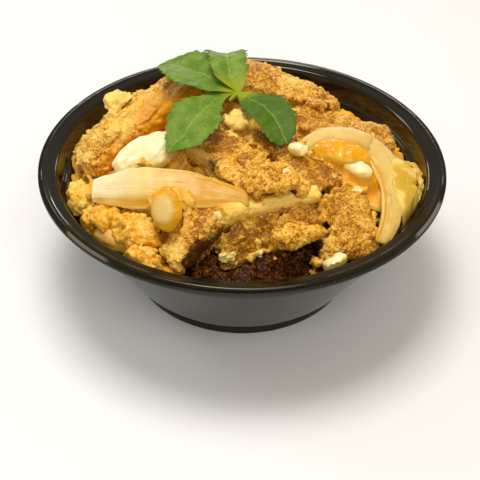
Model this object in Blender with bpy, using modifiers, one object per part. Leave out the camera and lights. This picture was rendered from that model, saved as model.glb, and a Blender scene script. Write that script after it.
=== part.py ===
"""A bowl of katsudon: breaded pork cutlet in slices, simmered with egg and onion,
piled high in a round black plastic takeaway bowl, with a sprig of mitsuba on top.

Metres, +Z up. The origin is the middle of the bowl's foot, on the surface it stands on.
The front of the bowl faces -Y.
"""

import math

import bmesh
import bpy
from mathutils import Vector, noise
from mathutils.bvhtree import BVHTree

MM = 0.001

# Bowl, in millimetres: radii and heights of its turned section
RIM_RADIUS = 100.0
RIM_TOP = 67.0
LIP_DROP = 2.8
FLANGE_INNER_RADIUS = 91.6
FLANGE_TOP = 66.0
LEDGE_RADIUS = 88.9
LEDGE_Z = 56.0
LEDGE_WIDTH = 1.4
WALL = 1.6
BODY_FOOT_RADIUS = 57.6
FOOT_RADIUS = 56.0
FOOT_HEIGHT = 4.4
FOOT_RING = 2.2
FLOOR_Z = 3.2
FLOOR_CURVE = 4.0
FLOOR_CURVE_RISE = 3.0
BOWL_STEPS = 48

# Clearances, in millimetres: between pieces, the extra that their rounded forms need, and
# between the food and the wall
GAP = 0.4
ROOM_MARGIN = 0.4
WALL_GAP = 0.5
ROOM_TOP = 130.0

# Egg filling, in millimetres: height at the wall in front and behind, and in the middle
FILL_FRONT = 50.0
FILL_BACK = 46.0
FILL_TOP = 84.0
FILL_RADIUS = 88.0
FILL_MIDDLE_Y = 4.0
FILL_ROUND = 1.7
FILL_STEPS = 40
FILL_RINGS = 7
CURD_HEIGHT = 3.5
CURD_SIZE = 13.0
LUMP_BUMP_SIZE = 7.5

# Cutlet slices, in millimetres: their crumbs, the breading round the meat on its long faces
# and at its ends, and how far the meat lies back from a cut side
CRUMB_DEPTH = 2.5
CRUMB_SIZE = 8.0
CRUST = 3.6
CRUST_ENDS = 5.8
MEAT_RECESS = 1.7
MEAT_ROUND = 1.4
TUNNEL_OVERRUN = 6.0
SLICE_TAPER = 0.10
SLICE_WANDER = 1.2
SLICE_CROWN = 0.8
SLICE_GRID = (5, 3, 2)
MEAT_GRID = (6, 2, 1)
ROOM_GRID = (4, 1, 1)

# Onion and leaf, in millimetres, and the share of a leaflet's length that is its stalk
ONION_THICKNESS = 3.0
LEAF_THICKNESS = 0.8
LEAF_ROWS = 8
LEAF_TEETH = 1.0
PETIOLE_HALF_WIDTH = 1.0
HUB_RADIUS = 3.6
LEAF_STALK = 0.12

# One row for each slice: the two ends of its top face's centre line, the direction that
# its top face looks, its width and its thickness, how much its middle arches up,
# and whether a cut side shows the meat
SLICES = {
    "katsu_7": ((-8, -51, 84), (-37, -75, 64), (-0.38, -0.25, 0.88), 20, 15, 1.0, True),
    "katsu_6": ((-11, -69, 65), (43, -48, 66), (0.3, -0.84, 0.45), 31, 14, 1.5, True),
    "katsu_4": ((-24, -10, 94), (15, -52, 86), (0.02, -0.18, 0.98), 24, 15, 2.0, True),
    "katsu_5": ((9, -9, 93), (43, -43, 83), (0.32, -0.05, 0.94), 24, 15, 1.5, False),
    "katsu_8": ((49, -37, 81), (57, -71, 63), (0.45, -0.36, 0.81), 25, 14, 1.0, False),
    "katsu_3": ((24, 8, 90), (78, 13, 73), (0.26, 0.05, 0.96), 24, 16, 1.5, False),
    "katsu_1": ((-84, -7, 71), (-24, 34, 98), (-0.31, -0.12, 0.94), 27, 17, 2.0, True),
    "katsu_2": ((-22, 46, 99), (48, 18, 87), (0.16, 0.0, 0.98), 28, 16, 2.5, False),
    "katsu_9": ((-32, 59, 71), (21, 64, 73), (0.0, 0.45, 0.89), 25, 15, 1.5, False),
}

# One row for each onion slice: its two long edges, from left to right, and how far its
# middle stands out from the plane between them
ONIONS = {
    "onion_2": (((-40, -57, 84), (-33, -55, 88), (-26, -57, 83)),
                ((-40, -66, 74), (-34, -69, 72), (-27, -66, 76)), 2.5),
    "onion_1": (((-68, -33, 76), (-46, -36, 84), (-22, -40, 86), (3, -50, 83)),
                ((-71, -45, 69), (-46, -53, 74), (-22, -54, 79), (2, -54, 81)), 3.0),
    "onion_3": (((23, -24, 92), (33, -12, 92), (48, -4, 89), (62, -8, 84)),
                ((26, -31, 91), (36, -21, 91), (48, -14, 88), (58, -17, 84)), 1.5),
    "onion_4": (((63, -5, 83), (79, -14, 76), (83, -34, 70), (72, -60, 63)),
                ((52, -14, 84), (64, -24, 79), (68, -40, 74), (64, -62, 64)), 2.5),
    "onion_6": (((4, 51, 86), (24, 56, 79), (36, 60, 66)),
                ((0, 65, 78), (20, 71, 70), (31, 74, 58)), 2.0),
    "onion_5": (((-65, -52, 64), (-56, -57, 65), (-49, -63, 64)),
                ((-68, -55, 59), (-60, -62, 60), (-52, -67, 59)), 1.5),
}

# One row for each soft lump of egg: middle, half sizes, turn about Z in degrees, tilt
# towards the front in degrees, and how rough its surface is
LUMPS = {
    "egg_white_2": ((-3, -12, 96), (7.5, 6.0, 5.0), 20, 10, 1.0),
    "egg_white_3": ((25, -30, 92), (5.5, 4.0, 3.5), -10, 20, 0.6),
    "egg_white_4": ((41, -76, 63), (6.0, 4.5, 5.0), 25, 25, 0.6),
    "egg_white_5": ((53, -31, 83), (8.5, 4.5, 3.0), -25, 20, 0.5),
    "egg_curd_2": ((14, -47, 88), (13, 9, 5), -20, 15, 1.8),
    "egg_curd_3": ((26, -67, 71), (13, 6, 7), 20, 55, 1.8),
    "egg_yolk_1": ((43, -24, 87), (18, 7, 4.5), -12, 15, 0.8),
    "egg_yolk_2": ((-62, 21, 84), (9, 7, 6), 35, 0, 1.0),
    "egg_curd_4": ((81, -24, 69), (6.5, 19, 8), 12, 0, 1.8),
    "egg_curd_5": ((-76, -29, 62), (9, 10, 8), 20, 10, 1.8),
    "egg_curd_1": ((-63, -50, 65), (12, 9, 8), -40, 20, 1.8),
    "egg_curd_6": ((-49, -60, 66), (12, 9, 8), -15, 25, 1.8),
    "egg_curd_7": ((-43, -71, 60), (11, 8, 7), -30, 20, 1.8),
    "egg_white_1": ((-45, -20, 81), (18, 12, 7), 15, 20, 0.5),
}

# The sprig: the point where its leaflets meet, and for each leaflet its tip, its greatest
# half width, and how far its middle arches up
SPRIG_JOINT = (-2, 0, 103)
LEAFLETS = (
    ((-35, -31, 89), 13.0, 4.0),
    ((22, -25, 95), 12.5, 2.0),
    ((-8, 43, 105), 11.0, 1.0),
    ((-45, 40, 101), 12.5, 3.0),
)
STEM_END = (-2, -9, 101)
LEAF_FOLD = 2.0
LEAF_WAVE = 0.8

COLOURS = {
    "bowl": ((0.012, 0.012, 0.013), 0.22),
    "egg_bed": ((0.72, 0.42, 0.08), 0.4),
    "egg_curd": ((0.80, 0.50, 0.12), 0.4),
    "egg_yolk": ((0.85, 0.48, 0.06), 0.35),
    "egg_white": ((0.86, 0.76, 0.46), 0.35),
    "katsu": ((0.50, 0.22, 0.05), 0.55),
    "meat": ((0.42, 0.20, 0.08), 0.45),
    "onion": ((0.78, 0.58, 0.24), 0.3),
    "mitsuba": ((0.10, 0.28, 0.04), 0.45),
}


def mm(point):
    return Vector(point) * MM


def clear_scene():
    for obj in list(bpy.data.objects):
        bpy.data.objects.remove(obj)


def new_collection(name, hidden=False):
    collection = bpy.data.collections.new(name)
    collection.hide_render = hidden
    bpy.context.scene.collection.children.link(collection)
    return collection


def material(kind):
    found = bpy.data.materials.get(kind)
    if found:
        return found
    colour, roughness = COLOURS[kind]
    made = bpy.data.materials.new(kind)
    made.use_nodes = True
    shader = made.node_tree.nodes["Principled BSDF"]
    shader.inputs["Base Color"].default_value = (*colour, 1)
    shader.inputs["Roughness"].default_value = roughness
    shader.inputs["Metallic"].default_value = 0
    made.diffuse_color = (*colour, 1)
    return made


def new_object(name, mesh, collection, kind=None):
    obj = bpy.data.objects.new(name, mesh)
    collection.objects.link(obj)
    if kind:
        mesh.materials.clear()
        mesh.materials.append(material(kind))
        mesh.shade_smooth()
        mesh.set_sharp_from_angle(angle=math.radians(50))
    else:
        obj.display_type = "WIRE"
        obj.hide_render = True
    return obj


def mesh_from(bm, name):
    mesh = bpy.data.meshes.new(name)
    bm.to_mesh(mesh)
    bm.free()
    return mesh


def apply_modifiers(obj):
    """The object's evaluated mesh takes the place of its mesh and modifiers."""
    bpy.context.view_layer.update()
    graph = bpy.context.evaluated_depsgraph_get()
    mesh = bpy.data.meshes.new_from_object(obj.evaluated_get(graph))
    obj.modifiers.clear()
    old = obj.data
    obj.data = mesh
    bpy.data.meshes.remove(old)


def turned(name, profile, steps, collection, kind=None):
    """A solid turned about Z from (radius, height) points in millimetres."""
    bm = bmesh.new()
    points = [bm.verts.new((r * MM, 0, z * MM)) for r, z in profile]
    for a, b in zip(points, points[1:]):
        bm.edges.new((a, b))
    obj = new_object(name, mesh_from(bm, name), collection, kind)
    screw = obj.modifiers.new("turn", "SCREW")
    screw.axis = "Z"
    screw.steps = steps
    screw.render_steps = steps
    screw.use_merge_vertices = True
    screw.merge_threshold = 1e-6
    return obj


def wall_radius(z):
    """The wall's inner radius at a height, in millimetres."""
    low = BODY_FOOT_RADIUS - WALL
    share = (z - FLOOR_Z) / (LEDGE_Z - FLOOR_Z)
    return low + (LEDGE_RADIUS - LEDGE_WIDTH - low) * share


def bowl_profile():
    """From the middle of the floor inside, up the wall, over the lip and down outside."""
    inside = [
        (0, FLOOR_Z),
        (wall_radius(FLOOR_Z) - FLOOR_CURVE, FLOOR_Z),
        (wall_radius(FLOOR_Z + FLOOR_CURVE_RISE), FLOOR_Z + FLOOR_CURVE_RISE),
        (LEDGE_RADIUS - LEDGE_WIDTH, LEDGE_Z),
        (LEDGE_RADIUS, LEDGE_Z + 0.4),
        (FLANGE_INNER_RADIUS - 1.2, FLANGE_TOP - 1.6),
        (FLANGE_INNER_RADIUS, FLANGE_TOP),
        (RIM_RADIUS - 2.4, RIM_TOP),
        (RIM_RADIUS - 0.6, RIM_TOP - 0.3),
        (RIM_RADIUS, RIM_TOP - 1.0),
    ]
    outside = [
        (RIM_RADIUS, RIM_TOP - LIP_DROP),
        (RIM_RADIUS - WALL, RIM_TOP - LIP_DROP),
        (FLANGE_INNER_RADIUS + 2.4, FLANGE_TOP - WALL),
        (LEDGE_RADIUS + WALL + 0.4, LEDGE_Z + 1.0),
        (LEDGE_RADIUS + WALL - 0.8, LEDGE_Z - 2.0),
        (BODY_FOOT_RADIUS + 3.4, FOOT_HEIGHT + 5.0),
        (BODY_FOOT_RADIUS, FOOT_HEIGHT + 1.0),
        (FOOT_RADIUS - 0.8, FOOT_HEIGHT),
        (FOOT_RADIUS, FOOT_HEIGHT - 0.8),
        (FOOT_RADIUS, 0),
        (FOOT_RADIUS - FOOT_RING, 0),
        (FOOT_RADIUS - FOOT_RING - 0.6, FLOOR_Z - WALL),
        (0, FLOOR_Z - WALL),
    ]
    return inside + outside


def cavity_profile():
    """The room inside the bowl and above it that the food may fill."""
    return [
        (0, ROOM_TOP),
        (FLANGE_INNER_RADIUS - 2.0, ROOM_TOP),
        (FLANGE_INNER_RADIUS - 2.0, FLANGE_TOP - 1.6),
        (LEDGE_RADIUS - WALL_GAP, LEDGE_Z + 0.4),
        (LEDGE_RADIUS - LEDGE_WIDTH - WALL_GAP, LEDGE_Z),
        (wall_radius(FLOOR_Z + FLOOR_CURVE_RISE) - WALL_GAP, FLOOR_Z + FLOOR_CURVE_RISE),
        (wall_radius(FLOOR_Z) - FLOOR_CURVE - WALL_GAP, FLOOR_Z + WALL_GAP),
        (0, FLOOR_Z + WALL_GAP),
    ]


def fill_height(x, y):
    """Height of the egg filling, in millimetres: a low dome that is deeper in front."""
    y_middle = y - FILL_MIDDLE_Y
    radius = math.hypot(x, y_middle)
    front = 0.5 - 0.5 * y_middle / max(radius, 1)
    edge = FILL_BACK + (FILL_FRONT - FILL_BACK) * front
    share = min(radius / FILL_RADIUS, 1.0) ** FILL_ROUND
    return edge + (FILL_TOP - edge) * (1 - share)


def lumps(point, size):
    """Rounded bumps of about the given size, from 0 in the creases to 1 on top."""
    near, _ = noise.voronoi(point / size)
    return max(0.0, 1.0 - near[0] * near[0] * 2.2)


def egg_bed(collection):
    """The egg that fills the bowl: its sides follow the wall and its top is curdled."""
    edge = cavity_profile()[4:]
    top = [(FILL_RADIUS * i / FILL_RINGS, FILL_BACK) for i in range(FILL_RINGS)]
    side = [(wall_radius(FILL_BACK) - WALL_GAP, FILL_BACK)] + edge[1:]
    obj = turned("egg_bed", top + side, FILL_STEPS, collection, "egg_bed")
    apply_modifiers(obj)
    rim = wall_radius(FILL_BACK) - WALL_GAP
    for vertex in obj.data.vertices:
        x, y, z = vertex.co / MM
        if z < FILL_BACK - 0.01:
            continue
        height = fill_height(x, y)
        if math.hypot(x, y) > rim - 0.01:
            height = min(height, LEDGE_Z)
            reach = (wall_radius(height) - WALL_GAP) / math.hypot(x, y)
            vertex.co = mm((x * reach, y * reach, height))
        else:
            bump = lumps(Vector((x, y, 0)), CURD_SIZE)
            vertex.co.z = (height + CURD_HEIGHT * (bump - 0.5)) * MM
    return obj


def grid_box(cells):
    """A unit cube whose edges are cut into the given numbers of cells."""
    bm = bmesh.new()
    bmesh.ops.create_cube(bm, size=1)
    for axis, count in enumerate(cells):
        along = [
            edge for edge in bm.edges
            if abs((edge.verts[0].co - edge.verts[1].co)[axis]) > 1e-6
        ]
        if count > 1:
            bmesh.ops.subdivide_edges(bm, edges=along, cuts=count - 1, use_grid_fill=True)
    return bm


def slice_axes(start, end, facing):
    along = (end - start).normalized()
    top = Vector(facing)
    top = (top - along * top.dot(along)).normalized()
    return along, top.cross(along), top


def slice_cage(row, cells, grow=0.0, shrink=(0.0, 0.0, 0.0)):
    """A slice's coarse box in place: arched, a little narrower at its ends, uneven."""
    start, end, facing, width, thick, arch, _ = row
    start, end = Vector(start), Vector(end)
    along, across, top = slice_axes(start, end, facing)
    length = (end - start).length
    bm = grid_box(cells)
    size = Vector((length, width, thick)) - Vector(shrink) + Vector((grow, grow, grow)) * 2
    for vertex in bm.verts:
        u, v, w = vertex.co * 2
        taper = 1 - SLICE_TAPER * u * u
        wander = SLICE_WANDER * noise.noise(Vector((u * 1.7, start.x, start.y)))
        height = -thick / 2 + size.z / 2 * w + arch * (1 - u * u) - SLICE_CROWN * v * v
        place = (start + end) / 2 + along * (size.x / 2 * u)
        place += across * (size.y / 2 * v * taper + wander) + top * height
        vertex.co = place * MM
    return bm


def crumbs(obj, depth):
    """Presses uneven pits into a surface, so that the crumbs stand between them."""
    obj.data.update()
    normals = [vertex.normal.copy() for vertex in obj.data.vertices]
    for vertex, normal in zip(obj.data.vertices, normals):
        bump = lumps(vertex.co / MM, CRUMB_SIZE)
        vertex.co -= normal * depth * (1 - bump) * MM


def katsu_slice(name, row, collection):
    """One slice of cutlet with its breading, and the meat where a cut side shows it."""
    mesh = mesh_from(slice_cage(row, SLICE_GRID), name)
    crust = new_object(name, mesh, collection, "katsu")
    smooth = crust.modifiers.new("round", "SUBSURF")
    smooth.levels = 1
    smooth.render_levels = 1
    apply_modifiers(crust)
    crumbs(crust, CRUMB_DEPTH)
    if not row[-1]:
        return [crust]
    inner = (CRUST_ENDS * 2, 0.0, CRUST * 2)
    tunnel_mesh = mesh_from(slice_cage(row, MEAT_GRID, GAP, inner), name + "_tunnel")
    tunnel = new_object(name + "_tunnel", tunnel_mesh, collection)
    lengthen_across(tunnel, row, TUNNEL_OVERRUN)
    boolean(crust, tunnel, "DIFFERENCE")
    bpy.data.objects.remove(tunnel)
    inner = (CRUST_ENDS * 2, MEAT_RECESS * 2, CRUST * 2)
    mesh = mesh_from(slice_cage(row, MEAT_GRID, 0.0, inner), name + "_meat")
    meat = new_object(name + "_meat", mesh, collection, "meat")
    rounded = meat.modifiers.new("round", "BEVEL")
    rounded.width = MEAT_ROUND * MM
    rounded.segments = 1
    rounded.limit_method = "ANGLE"
    apply_modifiers(meat)
    return [crust, meat]


def lengthen_across(obj, row, extra):
    """Pushes a tunnel's two open sides outwards, past the slice's cut sides."""
    start, end = Vector(row[0]), Vector(row[1])
    _, across, _ = slice_axes(start, end, row[2])
    middle = (start + end) / 2
    for vertex in obj.data.vertices:
        side = (vertex.co / MM - middle).dot(across)
        if abs(side) > row[3] / 4:
            vertex.co += across * math.copysign(extra, side) * MM


def curve_point(points, share):
    """A point on the smooth curve through the given points, at a share of its way."""
    last = len(points) - 1
    i = min(int(share * last), last - 1)
    t = share * last - i
    b, c = Vector(points[i]), Vector(points[i + 1])
    a = Vector(points[i - 1]) if i > 0 else b * 2 - c
    d = Vector(points[i + 2]) if i + 2 <= last else c * 2 - b
    return 0.5 * (b * 2 + (c - a) * t + (a * 2 - b * 5 + c * 4 - d) * t ** 2
                  + (b * 3 - a - c * 3 + d) * t ** 3)


def onion_sheet(row, rows, columns, spread=0.0):
    """The middle surface of an onion slice, between its two edges and bowed outwards."""
    upper, lower, bow = row
    bm = bmesh.new()
    grid = []
    for i in range(rows + 1):
        u = i / rows
        a, b = curve_point(upper, u), curve_point(lower, u)
        ahead = min(u + 0.05, 1.0)
        back = max(u - 0.05, 0.0)
        along = curve_point(upper, ahead) - curve_point(upper, back)
        out = (b - a).cross(along).normalized()
        ends = along.normalized() * spread * (2 * u - 1) ** 5
        width = (b - a).normalized() * spread
        line = []
        for j in range(columns + 1):
            v = j / columns
            place = a.lerp(b, v) + width * (2 * v - 1) + ends
            place += out * bow * (4 * v * (1 - v) - 0.3) * (1 - 0.5 * (2 * u - 1) ** 2)
            line.append(bm.verts.new(place * MM))
        grid.append(line)
    for low, high in zip(grid, grid[1:]):
        for j in range(columns):
            bm.faces.new((low[j], low[j + 1], high[j + 1], high[j]))
    return bm


def onion_slice(name, row, collection):
    rows = 12 if len(row[0]) > 3 else 7
    mesh = mesh_from(onion_sheet(row, rows, 4), name)
    obj = new_object(name, mesh, collection, "onion")
    thicken(obj, ONION_THICKNESS)
    return [obj]


def thicken(obj, thickness):
    shell = obj.modifiers.new("thickness", "SOLIDIFY")
    shell.thickness = thickness * MM
    shell.offset = 0
    apply_modifiers(obj)


def egg_lump(name, row, collection):
    """A soft lump: a flattened ball with a bumpy skin."""
    middle, rough = row[0], row[-1]
    kind = name.rsplit("_", 1)[0]
    mesh = mesh_from(lump_ball(row), name)
    obj = new_object(name, mesh, collection, kind)
    for vertex in obj.data.vertices:
        out = (vertex.co - mm(middle)).normalized()
        bump = lumps(vertex.co / MM + Vector((7, 3, 0)), LUMP_BUMP_SIZE)
        vertex.co += out * rough * (bump - 1) * MM
    return [obj]


def lump_ball(row, grow=0.0):
    middle, half, turn, tilt, _ = row
    bm = bmesh.new()
    bmesh.ops.create_icosphere(bm, subdivisions=2, radius=1)
    spin, lean = math.radians(turn), math.radians(tilt)
    for vertex in bm.verts:
        x, y, z = (vertex.co[i] * (half[i] + grow) for i in range(3))
        y, z = y * math.cos(lean) - z * math.sin(lean), y * math.sin(lean) + z * math.cos(lean)
        x, y = x * math.cos(spin) - y * math.sin(spin), x * math.sin(spin) + y * math.cos(spin)
        vertex.co = mm(middle) + mm((x, y, z))
    return bm


def cutter(name, collection):
    """A plain, slightly larger copy of a piece, which makes room for it in others."""
    label = name + "_room"
    if name in SLICES:
        mesh = mesh_from(slice_cage(SLICES[name], ROOM_GRID, GAP + ROOM_MARGIN), label)
        return new_object(label, mesh, collection)
    if name in ONIONS:
        rows = 8 if len(ONIONS[name][0]) > 3 else 5
        mesh = mesh_from(onion_sheet(ONIONS[name], rows, 2, GAP + ROOM_MARGIN), label)
        obj = new_object(label, mesh, collection)
        thicken(obj, ONION_THICKNESS + 2 * (GAP + ROOM_MARGIN))
        return obj
    bm = lump_ball(LUMPS[name], GAP + ROOM_MARGIN)
    return new_object(label, mesh_from(bm, label), collection)


def boolean(obj, other, operation):
    """Joins or cuts. The pitted crumbs leave open edges with the exact solver."""
    step = obj.modifiers.new(other.name, "BOOLEAN")
    step.operation = operation
    step.object = other
    step.solver = "MANIFOLD"
    apply_modifiers(obj)


def corners(obj):
    points = [obj.matrix_world @ vertex.co for vertex in obj.data.vertices]
    low = [min(point[axis] for point in points) for axis in range(3)]
    high = [max(point[axis] for point in points) for axis in range(3)]
    return low, high


def boxes_meet(a, b):
    low_a, high_a = a
    low_b, high_b = b
    return all(low_a[i] <= high_b[i] and low_b[i] <= high_a[i] for i in range(3))


def largest_body(obj):
    """Drops the loose scraps that cutting leaves."""
    bm = bmesh.new()
    bm.from_mesh(obj.data)
    bmesh.ops.remove_doubles(bm, verts=bm.verts, dist=1e-6)
    bodies = []
    left = set(bm.faces)
    while left:
        todo = [left.pop()]
        body = []
        while todo:
            face = todo.pop()
            body.append(face)
            for edge in face.edges:
                for other in edge.link_faces:
                    if other in left:
                        left.remove(other)
                        todo.append(other)
        bodies.append(body)
    bodies.sort(key=lambda body: sum(face.calc_area() for face in body))
    scraps = [face for body in bodies[:-1] for face in body]
    bmesh.ops.delete(bm, geom=scraps, context="FACES")
    bm.to_mesh(obj.data)
    bm.free()


def leaf_width(share, half_width):
    """Half the width of a leaflet at a share of its length: a stalk, then an oval."""
    if share < LEAF_STALK:
        return PETIOLE_HALF_WIDTH
    t = (share - LEAF_STALK) / (1 - LEAF_STALK)
    return max(half_width * math.sin(math.pi * t ** 0.72) ** 0.75, PETIOLE_HALF_WIDTH * 0.6)


def rest_height(tree, place):
    """The height of what lies highest round a place."""
    best = 0.0
    for radius in (0.0, 2.5, 4.5):
        for k in range(8 if radius else 1):
            turn = k * math.pi / 4
            aside = Vector((math.cos(turn), math.sin(turn), 0)) * radius * MM
            hit = tree.ray_cast(Vector((place.x, place.y, 0.2)) + aside, Vector((0, 0, -1)))[0]
            if hit:
                best = max(best, hit.z)
    return best


def leaf_rows(joint, tip, half_width, arch):
    """A leaflet's points, row by row from its stalk to its tip, each from left to right."""
    way = tip - joint
    side = Vector((-way.y, way.x, 0)).normalized()
    start = joint + way.normalized() * HUB_RADIUS
    rows = []
    for i in range(LEAF_ROWS + 1):
        share = i / LEAF_ROWS
        width = leaf_width(share, half_width)
        if 1 < i < LEAF_ROWS and i % 2:
            width += LEAF_TEETH
        middle = start.lerp(tip, share) + Vector((0, 0, arch * 4 * share * (1 - share)))
        row = []
        for j in (-1, -0.5, 0, 0.5, 1):
            place = middle + side * width * j
            place.z += LEAF_FOLD * abs(j) * width / half_width
            place.z += LEAF_WAVE * noise.noise(place / 9)
            row.append(place * MM)
        rows.append(row)
    return rows


def stem_rows(joint, end):
    rows = []
    for share in (0.4, 0.7, 1.0):
        middle = joint.lerp(end, share)
        rows.append([(middle + Vector((j, 0, 0))) * MM for j in (-1, -0.5, 0, 0.5, 1)])
    return rows


def mitsuba(pieces, collection):
    """One sprig: four leaflets and a short stem that meet at one joint."""
    tree = joined_tree(pieces)
    joint = Vector(SPRIG_JOINT)
    arms = [leaf_rows(joint, Vector(tip), width, arch) for tip, width, arch in LEAFLETS]
    arms.append(stem_rows(joint, Vector(STEM_END)))
    bm = bmesh.new()
    hub = bm.verts.new(joint * MM)
    lines = [[[bm.verts.new(place) for place in row] for row in arm] for arm in arms]
    for arm in lines:
        for low, high in zip(arm, arm[1:]):
            for j in range(4):
                bm.faces.new((low[j], high[j], high[j + 1], low[j + 1]))
    ring = []
    for arm in sorted(lines, key=lambda arm: bearing(arm[0][2].co, hub.co)):
        row = arm[0]
        turn = bearing(row[4].co, hub.co) - bearing(row[0].co, hub.co)
        ring += row if 0 < turn % (2 * math.pi) < math.pi else row[::-1]
    for a, b in zip(ring, ring[1:] + ring[:1]):
        bm.faces.new((hub, a, b))
    for vertex in bm.verts:
        clear = rest_height(tree, vertex.co) + (GAP + LEAF_THICKNESS) * MM
        vertex.co.z = max(vertex.co.z, clear)
    bmesh.ops.recalc_face_normals(bm, faces=bm.faces)
    bmesh.ops.triangulate(bm, faces=bm.faces)
    obj = new_object("mitsuba", mesh_from(bm, "mitsuba"), collection, "mitsuba")
    thicken(obj, LEAF_THICKNESS)
    return obj


def bearing(point, middle):
    return math.atan2(point.y - middle.y, point.x - middle.x)


def joined_tree(pieces):
    """One search tree over all the pieces' faces."""
    points, faces = [], []
    for obj in pieces:
        start = len(points)
        points += [obj.matrix_world @ vertex.co for vertex in obj.data.vertices]
        faces += [[start + i for i in face.vertices] for face in obj.data.polygons]
    return BVHTree.FromPolygons(points, faces)


def build():
    clear_scene()
    parts = new_collection("katsudon")
    rooms = new_collection("cutters", hidden=True)
    turned("bowl", bowl_profile(), BOWL_STEPS, parts, "bowl")
    cavity = turned("bowl_room", cavity_profile(), BOWL_STEPS, rooms)
    apply_modifiers(cavity)

    # From the top of the heap down: what lies above keeps its form and presses into the rest
    order = ["egg_white_2", "egg_white_3", "onion_2", "onion_3", "onion_4", "onion_1",
             "onion_6", "egg_curd_2", "egg_curd_3", "egg_white_5", "egg_yolk_1", "katsu_7",
             "katsu_6", "katsu_4", "katsu_5", "katsu_8", "katsu_3", "katsu_1", "katsu_2",
             "katsu_9", "egg_yolk_2", "egg_white_1", "onion_5", "egg_curd_5", "egg_curd_6",
             "egg_curd_1", "egg_curd_7", "egg_curd_4", "egg_white_4"]
    makers = {"katsu": (katsu_slice, SLICES), "onion": (onion_slice, ONIONS),
              "egg": (egg_lump, LUMPS)}
    above = []
    pieces = []
    for name in order + ["egg_bed"]:
        if name == "egg_bed":
            made = [egg_bed(parts)]
        else:
            make, table = makers[name.split("_")[0]]
            made = make(name, table[name], parts)
        for obj in made:
            box = corners(obj)
            for room, room_box in above:
                if boxes_meet(box, room_box):
                    boolean(obj, room, "DIFFERENCE")
            if name != "egg_bed":
                boolean(obj, cavity, "INTERSECT")
            largest_body(obj)
            pieces.append(obj)
        if name != "egg_bed":
            room = cutter(name, rooms)
            above.append((room, corners(room)))
    mitsuba(pieces, parts)


build()
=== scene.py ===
"""A bowl of katsudon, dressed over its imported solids: breaded cutlet slices with craggy crumbs,
soft curds of egg, simmered onion, a sprig of mitsuba and a glossy black bowl with a ribbed lip.

Lengths in the tables are in millimetres. The front of the bowl faces -Y.
"""

import itertools
import math

import bmesh
import bpy
import numpy as np
from bpy.props import FloatProperty, FloatVectorProperty, IntProperty, PointerProperty
from mathutils import Matrix, Vector
from mathutils.bvhtree import BVHTree
from mathutils.kdtree import KDTree


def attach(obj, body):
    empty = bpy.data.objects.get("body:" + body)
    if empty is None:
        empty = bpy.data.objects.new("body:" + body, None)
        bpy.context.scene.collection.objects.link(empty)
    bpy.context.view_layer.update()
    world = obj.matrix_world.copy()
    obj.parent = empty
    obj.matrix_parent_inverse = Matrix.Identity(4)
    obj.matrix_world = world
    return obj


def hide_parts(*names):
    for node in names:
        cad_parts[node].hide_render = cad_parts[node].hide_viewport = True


bl_info = {
    "name": "Katsudon",
    "version": (1, 0, 0),
    "blender": (4, 5, 0),
    "location": "View3D > Sidebar > Katsudon",
    "description": "Makes a bowl of katsudon, piece by piece",
    "category": "Object",
}

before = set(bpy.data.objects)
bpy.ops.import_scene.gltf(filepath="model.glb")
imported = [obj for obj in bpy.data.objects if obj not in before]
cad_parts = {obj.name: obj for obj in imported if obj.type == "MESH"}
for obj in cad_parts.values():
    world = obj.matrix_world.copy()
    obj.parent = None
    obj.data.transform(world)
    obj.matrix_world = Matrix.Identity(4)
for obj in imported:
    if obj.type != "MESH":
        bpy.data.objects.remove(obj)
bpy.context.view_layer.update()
MM = 0.001

# Cutlet slices: how much egg coats each one, how brown it is, and how many crumbs it has,
# each from 0 to 1
CUTLETS = {
    "katsu_1": (0.20, 0.35, 1.0),
    "katsu_2": (0.25, 0.40, 1.0),
    "katsu_3": (0.30, 0.35, 1.0),
    "katsu_4": (0.10, 0.95, 1.0),
    "katsu_5": (0.15, 0.60, 1.0),
    "katsu_6": (0.15, 0.50, 1.0),
    "katsu_7": (0.20, 0.60, 1.0),
    "katsu_8": (0.20, 0.70, 1.0),
    "katsu_9": (0.45, 0.35, 0.9),
}

# Cut sides: how pale the meat is, how much of it sauce has stained orange, how dark the
# sauce on it is, and how many crumbs have fallen on it, each from 0 to 1
CUT_SIDES = {
    "katsu_1_meat": (0.3, 0.3, 0.0, 0.9),
    "katsu_4_meat": (0.5, 0.3, 0.0, 0.9),
    "katsu_6_meat": (1.0, 0.0, 0.0, 0.8),
    # The sauce on this side also paints the shade that falls on it
    "katsu_7_meat": (0.0, 0.4, 0.3, 0.8),
}

# Rounded ridges that stand out along a cut side: their middle line and their radius
RIDGES = {
    "katsu_6_meat": (((-9, -60, 76.5), (3, -52.5, 75.2), (13, -49, 75.7), (20, -47, 76.4),
                      (27, -45.5, 77.7), (34, -44, 79)), 4.6),
}

# Factors on the coordinates of cut meat's unevenness: stretched along X, finer along Z
FIBRE_STRETCH = (0.5, 1, 1.6)

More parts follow.
